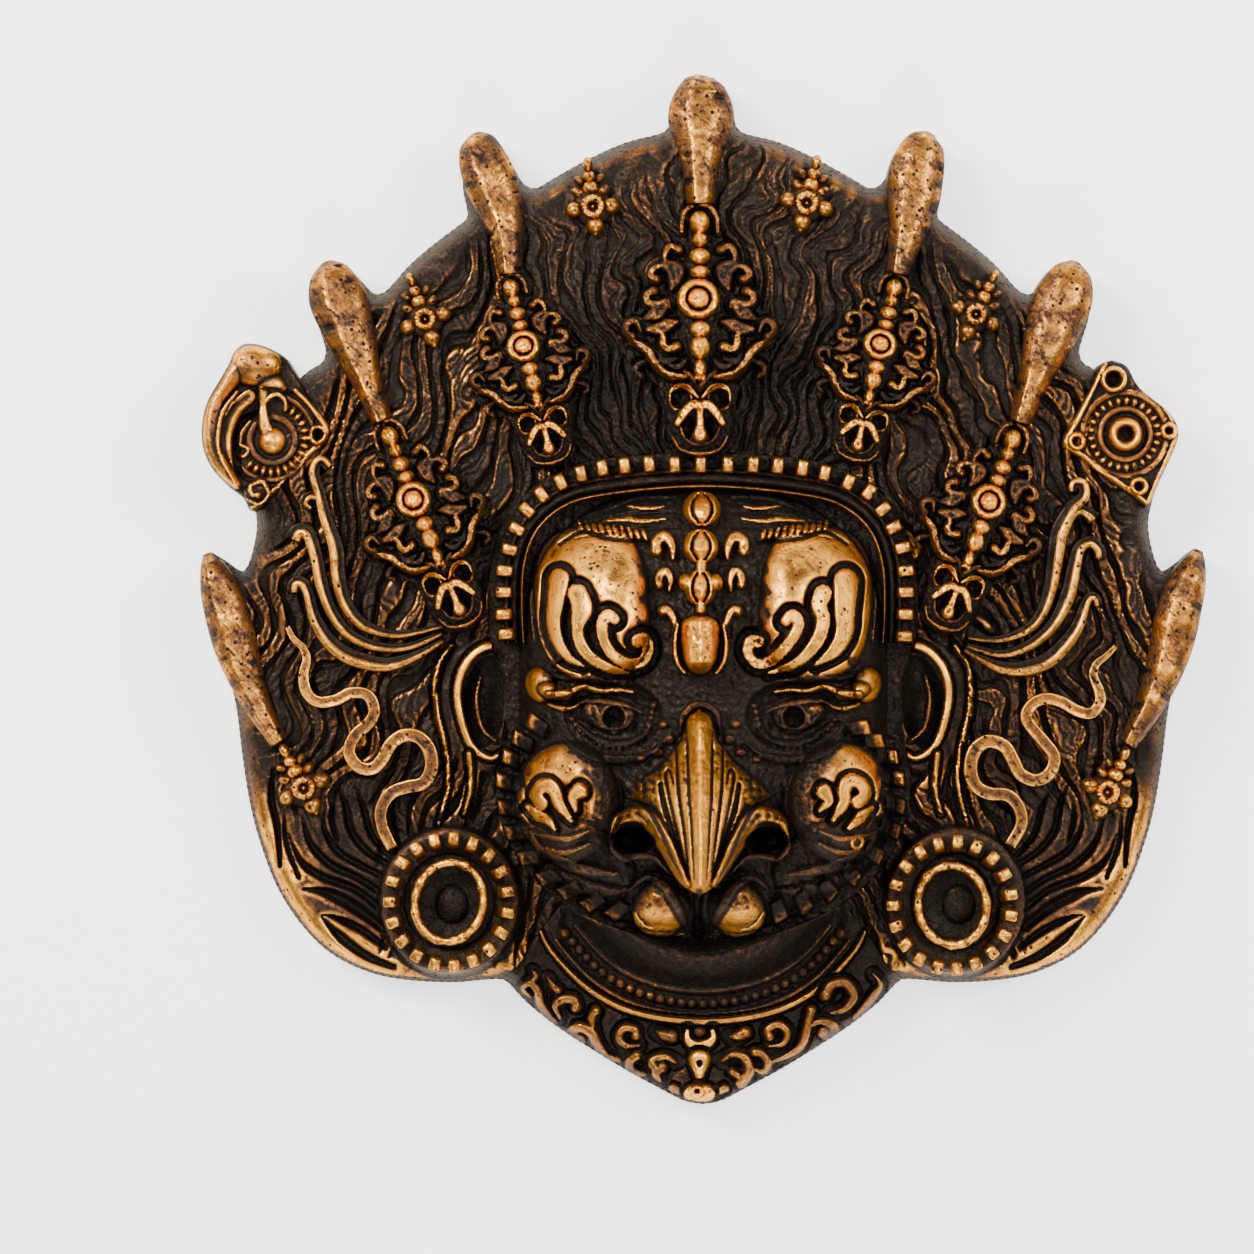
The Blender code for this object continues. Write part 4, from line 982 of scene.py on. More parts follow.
def beak(head):
    """A fan of flutes on each side of a ridge that ends in the beak's hooked tip."""
    down, wide, tall, hollow = np.array(BEAK_ROWS).T
    spot, u, v = head.local(BEAK_MIDDLE, -26.0, 11.4, 0)
    half, rise, bend = (np.interp(head.y[spot], down, row) for row in (wide, tall, hollow))
    share = abs(u) / half
    inside = share < 1
    spot, share, rise, bend, u = spot[inside], share[inside], rise[inside], bend[inside], u[inside]
    ridge = 1.15 * np.clip(1 - (u / 1.5) ** 2, 0, 1) ** 0.6 * smooth_step(head.y[spot], -36.6, -34.0)
    head.raise_to(spot, head.ground[spot] + rise * (1 - share) ** bend + ridge, 1.0)
    head.bright[spot] -= 0.12 * smooth_step(abs(u), 1.2, 1.6) + 0.42 * smooth_step(abs(u), 3.4, 5.4)
    head.settle()
    root = [
        (-2.9, -17.4), (-2.5, -15.3), (-1.4, -14.2), (-0.5, -14.0), (0.5, -14.2), (1.6, -15.3),
        (1.9, -17.4),
    ]
    head.line(root, [0.2, 0.45, 0.5, 0.45, 0.2], 1.2, bright=0.1)
    for side in (-1, 1):
        for x, y, size in ((3.6, -18.2, 0.75), (5.0, -19.8, 0.7), (4.4, -16.4, 0.6), (7.0, -20.6, 0.6)):
            head.bead(BEAK_MIDDLE + side * x, y, size, size * 0.8, 0.8, bright=0.17)
        for points, widths, depth in BEAK_FLUTES:
            head.groove(on_side(side, points, BEAK_MIDDLE), widths, depth, bright=0.0)


def nostrils(head):
    for side in (-1, 1):
        points, widths, seat = NOSTRIL_BAND
        head.line(on_side(side, points, NOSE_MIDDLE), widths, 1.6, seat=seat, flat=0.45, bright=0.32)
        points, widths = NOSTRIL_GROOVE
        head.groove(on_side(side, points, NOSE_MIDDLE), widths, 0.6, bright=0.0)
        points, widths, seat = NOSTRIL_SILL
        head.line(on_side(side, points, NOSE_MIDDLE), widths, 1.3, seat=seat, bright=0.1)
        head.mound(NOSE_MIDDLE + side * NOSTRIL[0], NOSTRIL[1], 2.6, 1.6, -5.0, blunt=0.4, turn=side * 6)
        spot, u, v = head.local(NOSE_MIDDLE + side * NOSTRIL[0], NOSTRIL[1], 2.6, side * 6)
        hole = (u / 2.55) ** 2 + (v / 1.55) ** 2 < 1
        head.bright[spot[hole]] = 0.0


def cheeks(head):
    head.mound(-17.8, -26.4, 3.9, 3.2, -1.0, bright=0.1)
    head.mound(17.0, -26.2, 3.9, 3.2, -1.0, bright=0.1)
    head.settle()
    for points, widths in CHEEK_CURLS:
        head.trench(points, widths, 0.75, 0.9)
    for points, widths in CHEEK_CURLS:
        head.line(points, [w * 1.08 for w in widths], 1.6, flat=0.4, bright=0.92)
    head.ring(18.7, -30.8, 0.7, 0.26, 0.9, bright=0.7)
    for side in (-1, 1):
        lines(head, side, CHEEK_LINES)
        lines(head, side, CHIN_LINES, FACE_MIDDLE)
    head.groove([(-0.6, -36.4), (-0.7, -39.0), (-0.6, -42.2)], [0.8, 0.6, 0.9], 1.4, bright=0.0)


def jaw(head):
    """Square tufts along the jaw and up to the temples, each hollowed on its inner side."""
    for x, y in JAW_TUFTS:
        turn = math.degrees(math.atan2(y + 24, x))
        spot, u, v = head.local(x, y, 2.0, turn)
        block = (1 - smooth_step(abs(u), 1.1, 1.6)) * (1 - smooth_step(abs(v + 0.25 * u), 0.75, 1.15))
        head.z[spot] += (2.3 + 0.7 * u - 0.35 * v * v) * block
        tip = 0.34 if y > -25 else 0.17
        head.bright[spot] = np.maximum(
            head.bright[spot] * (1 - block), block * tip * np.clip((u + 0.1) / 0.8, 0.1, 1),
        )
        head.groove([(x - 1.1, y - 0.9), (x - 1.3, y + 0.6)], 0.3, 0.4)


head = Carving(head_loop, HEAD_GRAIN, head_ground)
forms_of_face(head)
brows(head)
head.settle()
forehead_jewel(head)
head.settle()
eyes(head)
head.settle()
beak(head)
head.settle()
nostrils(head)
head.settle()
cheeks(head)
jaw(head)
head_piece = Metal("head")
head_piece.add_carving(head, underside, BACK_GRAIN)
head_piece.make(bronze)

# The headband: a smooth roll round the brow with a thin rail on its inner side, and square studs outside.
# Roll and rail are swept along the arch; each stud is a small block with a bevelled top, rubbed bright.
BAND_ARCH = [
    (0.0, 12.5), (6.0, 12.2), (11.2, 11.6), (15.6, 10.7), (18.7, 8.9), (20.8, 6.3), (21.9, 2.6),
    (22.1, -2.0), (21.9, -6.6),
]
STUDS_LEFT = [
    (-0.3, 15.1), (-3.5, 15.1), (-6.6, 15.2), (-9.6, 15.0), (-12.3, 14.7), (-14.9, 14.0), (-17.4, 13.0),
    (-19.7, 11.5), (-21.5, 9.6), (-22.7, 7.3), (-23.6, 4.8), (-24.2, 2.2), (-24.3, -0.4), (-24.3, -3.1),
    (-24.0, -5.5),
]
STUDS_RIGHT = [
    (3.0, 15.1), (6.1, 15.1), (9.1, 15.0), (12.1, 14.7), (14.8, 14.1), (17.7, 13.0), (20.2, 11.8),
    (21.9, 9.7), (23.2, 7.5), (24.3, 5.0), (24.7, 2.2), (24.7, -0.4), (24.6, -3.1), (24.5, -5.8),
]
ROUND_BAR = [
    (-1, 0.0, 0.0), (-0.92, 0.45, 0.5), (-0.7, 0.76, 0.9), (-0.36, 0.94, 1), (0, 1, 1), (0.36, 0.94, 1),
    (0.7, 0.76, 0.9), (0.92, 0.45, 0.5), (1, 0.0, 0.0),
]
FLAT_BAND = [
    (-1, 0.0, 0.0), (-1, 0.7, 0.8), (-0.86, 0.98, 1.5), (-0.66, 0.94, 0.75), (0, 0.88, 0.6),
    (0.66, 0.94, 0.75), (0.86, 0.98, 1.5), (1, 0.7, 0.8), (1, 0.0, 0.0),
]
RIBBON_BAND = [
    (-1, 0.0, 0.0), (-1, 0.5, 0.3), (-0.82, 0.74, 0.5), (-0.5, 0.66, 0.2), (-0.22, 0.7, 0.3),
    (0.0, 0.98, 1.2), (0.35, 1.0, 1.0), (0.78, 0.96, 1.15), (1, 0.7, 0.9), (1, 0.0, 0.0),
]
SINK = 1.4


def beside(path, gap):
    """A path that runs beside another, that far to its left."""
    ahead = np.gradient(path, axis=0)
    ahead /= np.hypot(*ahead.T)[:, None] + 1e-9
    return path + np.column_stack([-ahead[:, 1], ahead[:, 0]]) * np.reshape(gap, (-1, 1))


def tube_faces(rings, ribs, closed=False):
    """Faces over rings of points: a tube that closes on itself, or one with its ends filled."""
    faces = []
    for i in range(rings if closed else rings - 1):
        here, ahead = i * ribs, (i + 1) % rings * ribs
        for j in range(ribs):
            k = (j + 1) % ribs
            faces.append((here + j, ahead + j, ahead + k, here + k))
    if not closed:
        faces.append(tuple(range(ribs)))
        faces.append(tuple(range((rings - 1) * ribs, rings * ribs))[::-1])
    return faces


def sweep(piece, path, widths, heights, ground, seat=0.0, profile=ROUND_BAR, bright=1.0):
    """Adds a bar along a path; widths and heights run along it, and the profile is its section."""
    count, width = len(path), len(profile) + 2
    share = np.linspace(0, 1, count)
    half = np.interp(share, np.linspace(0, 1, len(widths)), widths)
    tall = np.interp(share, np.linspace(0, 1, len(heights)), heights)
    base = ground(*path.T) + seat
    rubbed = np.interp(share, np.linspace(0, 1, np.size(bright)), np.atleast_1d(bright))
    rows, finish = [], []
    for out, up, rub in [(-1, None, 0), *profile, (1, None, 0)]:
        z = base - SINK if up is None else base + tall * up
        rows.append(np.column_stack([beside(path, half * out), z]))
        finish.append(
            np.column_stack(
                [
                    rubbed * min(rub, 1.1), np.full(count, 0.296 + 0.34 * rub),
                    np.full(count, 0.42 + 0.14 * rub),
                ]
            )
        )
    piece.add(np.stack(rows, 1).reshape(-1, 3), tube_faces(count, width), np.stack(finish, 1).reshape(-1, 3))


def deselected():
    bpy.ops.object.select_all(action="DESELECT")


def taken(obj):
    """A modelled shape's points and faces, with the object cleared away."""
    verts = np.array([tuple(v.co) for v in obj.data.vertices])
    faces = [tuple(p.vertices) for p in obj.data.polygons]
    bpy.data.objects.remove(obj)
    return verts, faces


def stud_shape():
    """A block one unit wide and long, narrowed to its top, with its edges bevelled."""
    deselected()
    bpy.ops.mesh.primitive_cube_add(size=1)
    bpy.ops.object.mode_set(mode="EDIT")
    bpy.ops.mesh.select_all(action="DESELECT")
    bpy.ops.object.mode_set(mode="OBJECT")
    block = bpy.context.object
    for face in block.data.polygons:
        face.select = face.normal.z > 0.5
    bpy.ops.object.mode_set(mode="EDIT")
    bpy.ops.transform.resize(value=(0.74, 0.74, 1))
    bpy.ops.mesh.select_all(action="SELECT")
    bpy.ops.mesh.bevel(offset=0.13, segments=2)
    bpy.ops.object.mode_set(mode="OBJECT")
    return taken(block)


def bead_shape():
    """A round bead of one unit radius."""
    deselected()
    bpy.ops.mesh.primitive_uv_sphere_add(segments=18, ring_count=10, radius=1)
    return taken(bpy.context.object)


def stand_at(piece, shape, x, y, size, seat, turn, bright=1.0, tilt=0.0):
    """Adds a copy of a shape at x, y, of that size, turned, with its middle at the height seat."""
    verts, faces = shape
    move = Matrix.Translation((x, y, seat)) @ Matrix.Rotation(
        math.radians(turn), 4, "Z",
    ) @ Matrix.Rotation(math.radians(tilt), 4, "Y")
    move = np.array(move @ Matrix.Diagonal((*size, 1)))
    placed = verts @ move[:3, :3].T + move[:3, 3]
    rise = verts[:, 2] / abs(verts[:, 2]).max()
    top = smooth_step(rise, -0.2, 0.7)
    flat = np.clip(np.hypot(verts[:, 0], verts[:, 1]), 0, 1)
    finish = np.column_stack([bright * top, 0.5 + 0.12 * top * flat, 0.38 + 0.26 * top])
    piece.add(placed, faces, finish)


stud, bead = stud_shape(), bead_shape()
band = Metal("headband")
arch = spaced(curve_through(across(BAND_ARCH)), 0.4)
sweep(
    band, beside(arch, 0.95), [0.5, 0.8, 0.85, 0.8, 0.5], [2.6, 3.3, 3.3, 3.3, 2.6], plate_height,
    seat=0.5, bright=0.12,
)
sweep(
    band, arch, [0.22, 0.28, 0.3, 0.28, 0.22], [3.0, 4.0, 4.0, 4.0, 3.0], plate_height, seat=0.5,
    bright=0.62,
)
sweep(band, beside(arch, 1.9), [0.4, 0.5, 0.5, 0.4], [2.2, 2.2, 2.2], plate_height, seat=0.6, bright=0.2)
for x, y in STUDS_LEFT + STUDS_RIGHT:
    turn = headings(arch)[nearest(arch, (x, y))]
    height = float(plate_height(x, y))
    stand_at(band, stud, x, y, (1.7, 2.5, 3.8), height + 2.7, turn)
band.make(bronze)

# The crown's blades: seven leaf-shaped points that stand over the rim, one over each skull leaf
# and one at each side. They are cast with the plate, bevelled, dented and worn to mottled bronze.
BLADES = [
    [
        (-0.1, 63.2, 0.7), (-0.2, 62.4, 2.2), (-0.2, 60.9, 3.3), (-0.2, 58.8, 4.0), (-0.2, 56.8, 3.9),
        (-0.2, 54.6, 3.1), (-0.3, 52.4, 2.45), (-0.3, 50.0, 2.0), (-0.3, 47.2, 1.75),
    ],
    [
        (28.0, 56.1, 0.6), (27.4, 54.9, 2.3), (26.6, 52.6, 3.2), (26.0, 50.0, 3.45), (25.8, 47.4, 3.2),
        (25.2, 44.6, 2.5), (24.6, 42.0, 2.0), (23.9, 38.6, 1.45),
    ],
    [
        (-28.0, 56.1, 0.6), (-27.6, 54.9, 2.2), (-27.0, 52.6, 3.0), (-26.0, 50.0, 3.25),
        (-25.0, 47.2, 2.9), (-24.2, 44.6, 2.3), (-23.8, 42.0, 1.9), (-23.7, 38.6, 1.4),
    ],
    [
        (45.9, 40.3, 0.6), (45.4, 38.9, 2.4), (44.5, 36.2, 3.5), (43.3, 33.2, 3.5), (42.3, 30.4, 3.1),
        (41.4, 27.8, 2.5), (40.4, 25.2, 1.95), (38.8, 20.4, 1.35),
    ],
    [
        (-46.3, 40.3, 0.6), (-45.8, 38.9, 2.4), (-45.0, 36.2, 3.5), (-43.9, 33.2, 3.4),
        (-42.9, 30.4, 3.0), (-42.0, 27.8, 2.4), (-41.0, 25.2, 1.85), (-39.3, 20.6, 1.3),
    ],
    [
        (61.1, 4.8, 0.5), (60.4, 3.2, 1.5), (59.5, 0.8, 2.35), (58.5, -2.4, 2.75), (57.7, -6.0, 2.75),
        (56.6, -10.0, 2.35), (55.1, -13.6, 1.85), (53.5, -16.6, 1.5), (52.1, -19.0, 1.15),
    ],
    [
        (-61.0, 4.4, 0.5), (-60.3, 2.8, 1.5), (-59.4, 0.2, 2.35), (-58.4, -3.0, 2.75),
        (-57.4, -6.6, 2.75), (-56.2, -10.4, 2.3), (-54.9, -13.6, 1.8), (-53.4, -16.4, 1.45),
        (-52.0, -18.8, 1.15),
    ],
]
BLADE_SECTION = [
    (-1, 0.0, 0.4), (-0.97, 0.30, 0.75), (-0.86, 0.52, 0.85), (-0.62, 0.76, 0.8), (-0.44, 0.94, 0.9),
    (-0.34, 1.0, 1.1), (-0.2, 0.97, 0.95), (0.1, 0.98, 0.9), (0.34, 0.96, 0.95), (0.6, 0.80, 0.8),
    (0.82, 0.56, 0.8), (0.96, 0.30, 0.75), (1, 0.0, 0.4),
]
BLADE_SIDE = 5.9
BLADE_CREST = 2.3


def blade(piece, knots, number):
    """A leaf-shaped point with bevelled sides, a dented front and chipped edges."""
    path = spaced(curve_through(knots), count=100)
    line, half = path[:, :2], path[:, 2]
    share = np.linspace(0, 1, len(path))
    foot = np.maximum(BLADE_SIDE, halo_height(*line.T) + 0.2) - 1.5 * (1 - smooth_step(share, 0, 0.05))
    crest = BLADE_CREST * (0.35 + 0.65 * smooth_step(share, 0.0, 0.14))
    verts = [np.column_stack([beside(line, -half), 0 * half + 1.0])]
    finish = [np.tile([0.1, 0.5, 0.4], (len(path), 1))]
    for out, up, rub in BLADE_SECTION:
        verts.append(np.column_stack([beside(line, half * out), foot + crest * up]))
        finish.append(np.tile([rub, 0.5, 0.5], (len(path), 1)))
    verts.append(np.column_stack([beside(line, half), 0 * half + 1.0]))
    finish.append(np.tile([0.1, 0.5, 0.4], (len(path), 1)))
    verts, finish = np.stack(verts, 1), np.stack(finish, 1)
    x, y = verts[:, :, 0], verts[:, :, 1]
    dents = swells(x, y, 4.2, 20 + number) + 0.5 * swells(x, y, 1.5, 30 + number)
    chips = smooth_step(swells(x, y, 2.2, 40 + number), 0.8, 1.2)
    out = np.array([1, *(abs(row[0]) for row in BLADE_SECTION), 1])[None, :]
    bevel = (out > 0.55) & (out < 0.99)
    verts[:, 1:-1, 2] += (0.12 * dents - 0.45 * chips * bevel)[:, 1:-1]
    rubbed = finish[:, 1:-1, 0] * 0.86 + (0.10 * dents - 0.7 * chips * bevel)[:, 1:-1]
    finish[:, 1:-1, 0] = np.clip(rubbed, 0.05, 1.1)
    finish[:, :, 1] += 0.6 * (finish[:, :, 0] - 0.9) * (finish[:, :, 0] > 0.9) + 0.04 * dents
    faces = tube_faces(len(path), len(BLADE_SECTION) + 2)
    piece.add(verts.reshape(-1, 3), faces, finish.reshape(-1, 3))


blades = Metal("crown_blades")
for number, knots in enumerate(BLADES):
    blade(blades, knots, number)
blades.make(bronze)

# The crown's five skull leaves: a pad of pierced-looking scrollwork under a chain of beads, with a
# round boss and a small skull at the foot. They are carved once and stand out from the hair.
LEAF_GRAIN = 0.14
LEAF_LENGTH = 32.4
LEAF_UNDER = -2.4
LEAF_BOSS = (-0.2, -12.1)
LEAF_EDGE = [
    (0.0, 0.4), (1.4, 0.2), (2.4, -1.2), (2.7, -3.2), (3.0, -4.8), (4.4, -5.2), (5.1, -7.0), (6.5, -8.4),
    (6.4, -10.2), (7.4, -11.4), (7.5, -13.4), (9.2, -14.4), (9.9, -16.2), (9.4, -18.4), (8.4, -20.2),
    (7.6, -21.8), (6.0, -22.2), (4.9, -23.0), (4.4, -25.0), (4.3, -27.2), (4.0, -29.4), (2.9, -31.3),
    (0.0, -32.4),
]
LEAF_LIP = ([0.0, 1.8, 4.0, 5.6, 6.6, 7.6, 9.4], [23.0, 21.9, 21.5, 20.2, 18.8, 17.8, 15.4])
LEAF_HOOKS = [
    ([(4.1, -7.7), (4.3, -6.5), (3.6, -5.4), (2.6, -5.9)], 0.36, 0.62),
    ([(4.0, -7.8), (5.4, -8.1), (6.1, -9.0), (5.4, -9.6)], 0.38, 0.62),
    ([(3.7, -13.2), (4.0, -12.3), (5.1, -12.7), (6.3, -12.6), (6.5, -11.6), (5.7, -11.1)], 0.38, 0.55),
    ([(7.2, -16.2), (7.8, -14.9), (8.8, -15.1), (9.1, -16.2), (8.4, -16.8)], 0.38, 0.45),
    ([(5.4, -15.8), (4.6, -16.6), (4.5, -17.8), (3.9, -18.4), (2.9, -18.1)], 0.42, 0.8),
    ([(5.7, -19.6), (7.2, -20.0), (8.0, -21.0), (7.2, -21.6)], 0.34, 0.35),
]
LEAF_LOBES = [
    ([(4.0, -7.9), (3.0, -8.5), (3.1, -9.7), (3.5, -10.8)], [0.6, 0.85, 0.65, 0.2], 0.42),
    ([(4.4, -12.8), (5.4, -13.9), (6.6, -14.5)], [0.5, 0.75, 0.25], 0.4),
    ([(2.8, -15.0), (3.9, -15.3), (4.9, -15.8), (6.3, -15.9)], [0.2, 0.6, 0.6, 0.3], 0.5),
    (
        [(8.4, -17.5), (7.3, -17.9), (6.2, -18.8), (5.5, -20.1), (4.1, -21.5), (1.8, -21.8)],
        [0.3, 0.42, 0.42, 0.42, 0.4, 0.2], 0.75,
    ),
    ([(1.9, -21.2), (0.9, -21.9), (0.1, -22.9)], [0.15, 0.25, 0.2], 0.4),
    ([(3.0, -19.6), (4.4, -19.9), (5.0, -19.0)], [0.2, 0.4, 0.2], 0.12),
    ([(1.8, -19.8), (2.6, -20.6), (3.8, -20.4)], [0.2, 0.35, 0.2], 0.12),
    ([(2.2, -3.6), (2.1, -1.8), (1.3, -0.5), (0.0, -0.1)], [0.2, 0.24, 0.22], 0.6),
]
LEAF_BEADS = [
    (-2.4, 1.05, 1.2), (-4.6, 0.83, 0.78), (-6.7, 1.09, 0.86), (-8.7, 1.05, 0.68), (-15.9, 1.1, 0.85),
    (-18.2, 1.05, 1.2), (-21.0, 0.65, 1.15),
]


def leaf_ground(x, y):
    """A pad that swells to a lip, under which it falls away to the skull."""
    down = -y
    domed = np.clip(1 - (x / 10.2) ** 2, 0, 1) ** 0.55
    lip = np.interp(abs(x), *LEAF_LIP)
    pad = (0.5 + 4.4 * smooth_step(down, 0, 18)) * (0.35 + 0.65 * domed)
    under = smooth_step(down, lip, lip + 1.3)
    return pad * (1 - under) + (0.3 + 1.2 * domed) * under


def skull(leaf):
    """Two round sockets, a forked nose, and the arc of the upper teeth."""
    leaf.mound(0, -27.0, 4.3, 5.2, 2.2, blunt=0.6)
    leaf.settle()
    for side in (-1, 1):
        leaf.mound(side * 2.4, -24.4, 1.35, 1.35, -1.7, blunt=0.7)
        leaf.ring(side * 2.4, -24.5, 1.4, 0.2, 0.4, bright=0.3)
        leaf.line(
            [
                (side * 0.3, -24.3), (side * 1.2, -23.4), (side * 2.4, -22.8), (side * 3.5, -23.4),
                (side * 3.7, -24.6),
            ],
            [0.2, 0.38, 0.34, 0.15], 1.1, bright=0.75,
        )
        leaf.mound(side * 1.6, -28.0, 1.0, 1.5, -1.6)
        leaf.line(
            [(side * 0.1, -25.4), (side * 1.0, -25.3), (side * 1.9, -26.2), (side * 2.8, -27.6)],
            [0.6, 0.6, 0.56, 0.4], 2.0, flat=0.5, bright=0.95,
        )
    leaf.line(
        [(0, -25.4), (0, -27.0), (0, -28.2), (0, -29.0)], [0.55, 0.44, 0.5, 0.95], 2.0, flat=0.5,
        bright=0.95,
    )
    for reach, y, bright in ((3.4, -31.4, 0.26), (2.4, -30.2, 0.14)):
        leaf.line(
            [
                (-reach, y + 2.2), (-reach * 0.7, y + 0.6), (0, y), (reach * 0.7, y + 0.6),
                (reach, y + 2.2),
            ],
            [0.15, 0.3, 0.15], 0.7, bright=bright,
        )


def carve_leaf():
    half = curve_through(LEAF_EDGE)
    loop = spaced(np.vstack([half, (half * LEFT)[-2::-1]]), LEAF_GRAIN)[:-1]
    leaf = Carving(loop, LEAF_GRAIN, leaf_ground)
    leaf.z += 0.13 * swells(leaf.x, leaf.y, 1.2, 31) + 0.05 * swells(leaf.x, leaf.y, 0.6, 32)
    leaf.bright += 0.04
    leaf.settle()
    for side in (-1, 1):
        for points, widths, _ in LEAF_LOBES:
            leaf.trench(on_side(side, points), [w * 1.3 for w in widths], 0.5, 0.7)
        for points, width, _ in LEAF_HOOKS:
            leaf.trench(on_side(side, points), width * 1.2, 0.5, 0.8)
        for points, widths, bright in LEAF_LOBES:
            leaf.line(on_side(side, points), [w * 1.4 for w in widths], 1.5, flat=0.5, bright=bright * 0.34)
        for points, width, bright in LEAF_HOOKS:
            leaf.hook(on_side(side, points), width * 1.3, 1.6, bulb=1.35, flat=0.4, bright=bright * 0.36)
    skull(leaf)
    for y, rx, ry in LEAF_BEADS:
        leaf.bead(0, y, rx * 1.16, ry * 1.2, 1.9, seat=1.2, bright=1.25)
    leaf.ring(*LEAF_BOSS, 2.0, 0.6, 1.9, seat=0.8, bright=1.1)
    leaf.mound(*LEAF_BOSS, 1.5, 1.5, -1.0)
    spot, u, v = leaf.local(*LEAF_BOSS, 1.9, 0)
    leaf.bright[spot[np.hypot(u, v) < 1.58]] = 0.0
    leaf.bead(*LEAF_BOSS, 1.4, 1.4, 2.1, seat=1.3, bright=1.15)
    return leaf


leaf = carve_leaf()
LEAVES = [
    ("leaf_centre", (-0.4, 47.2), (-0.4, 15.4), 1.0),
    ("leaf_upper_left", (-23.9, 38.6), (-18.2, 14.6), 0.80),
    ("leaf_upper_right", (23.8, 38.6), (18.2, 15.0), 0.80),
    ("leaf_side_left", (-39.1, 20.6), (-28.6, -5.2), 0.84),
    ("leaf_side_right", (38.6, 20.2), (28.8, -5.6), 0.84),
]
leaf_patch = Metal("leaf")
leaf_patch.add_carving(leaf, lambda x, y: 0 * x + LEAF_UNDER)
leaf_verts, leaf_finish = np.vstack(leaf_patch.verts), np.vstack(leaf_patch.finish)
for name, top, foot, wide in LEAVES:
    down = (np.array(foot) - top) / math.dist(top, foot)
    long = math.dist(top, foot) / LEAF_LENGTH
    x = top[0] - down[0] * leaf_verts[:, 1] * long - down[1] * leaf_verts[:, 0] * wide
    y = top[1] - down[1] * leaf_verts[:, 1] * long + down[0] * leaf_verts[:, 0] * wide
    z = plate_height(x, y) + leaf_verts[:, 2] * (0.35 + 0.65 * long) + 0.6
    piece = Metal(name)
    piece.add(np.column_stack([x, y, z]), leaf_patch.faces, leaf_finish)
    piece.make(bronze)

# The ribbons and serpents beside the ears: flat bands that curl at their tips, three ribbons on each
# side from behind the ear, and a serpent that winds down to the earring. Their tops are rubbed bright.
RIBBONS_LEFT = [
    (
        [
            (-31.8, -4.5), (-36.5, -5.5), (-39.5, -5.2), (-42.0, -4.0), (-43.8, -1.5), (-44.6, 1.6),
            (-44.9, 5.0), (-46.2, 9.0), (-47.0, 12.2), (-47.6, 14.4), (-46.8, 15.8), (-45.8, 14.9),
        ],
        [0.25, 0.35, 0.5, 0.65, 0.75, 0.8, 0.85, 0.75, 0.6, 0.6, 0.5],
    ),
    ([(-46.0, 9.6), (-46.9, 11.2), (-48.2, 11.4), (-48.8, 10.4), (-48.0, 9.7)], [0.5, 0.5, 0.45, 0.35]),
    (
        [
            (-31.9, -5.4), (-35.5, -6.9), (-38.5, -7.2), (-41.5, -6.5), (-43.8, -5.0), (-45.5, -2.5),
            (-46.6, 0.6), (-47.3, 4.0), (-48.3, 6.9), (-49.6, 7.1), (-50.2, 6.1),
        ],
        [0.25, 0.4, 0.5, 0.6, 0.65, 0.7, 0.75, 0.7, 0.75, 0.9],
    ),
    (
        [
            (-31.8, -6.3), (-35.2, -8.2), (-38.5, -9.2), (-41.5, -8.8), (-44.0, -7.8), (-46.0, -6.0),
            (-47.5, -3.4), (-48.3, -0.4), (-49.1, 0.9), (-50.1, 0.7), (-50.3, -0.4),
        ],
        [0.25, 0.45, 0.7, 0.85, 0.9, 0.9, 0.8, 0.65, 0.6, 0.6],
    ),
]
RIBBONS_RIGHT = [
    (
        [
            (32.4, -5.9), (35.5, -6.2), (38.0, -5.7), (40.2, -4.5), (41.6, -2.5), (42.5, 0.4),
            (43.0, 3.6), (43.6, 7.0), (45.2, 10.0), (46.6, 11.4), (46.4, 12.9), (45.4, 12.9),
            (45.2, 11.9),
        ],
        [0.25, 0.35, 0.5, 0.6, 0.7, 0.8, 0.95, 1.0, 0.8, 0.6, 0.5],
    ),
    ([(44.6, 8.2), (45.8, 9.6), (47.0, 9.4), (47.9, 8.6)], [0.5, 0.5, 0.6, 0.8]),
    (
        [
            (32.3, -6.9), (34.5, -7.6), (37.0, -7.9), (39.8, -6.9), (42.0, -5.2), (43.6, -3.0),
            (44.7, -0.4), (45.3, 2.4), (46.0, 5.0), (47.4, 5.8), (48.5, 4.9), (48.7, 3.8),
        ],
        [0.25, 0.4, 0.5, 0.6, 0.7, 0.75, 0.85, 0.8, 0.7, 0.6, 0.65],
    ),
    (
        [
            (32.0, -7.4), (34.0, -8.5), (36.5, -9.6), (39.2, -9.7), (42.0, -8.8), (44.2, -6.8),
            (45.8, -4.5), (46.7, -2.0), (47.3, -0.9), (48.1, -1.1), (48.4, -2.0),
        ],
        [0.25, 0.45, 0.7, 0.85, 0.9, 0.9, 0.8, 0.65, 0.5, 0.45],
    ),
]
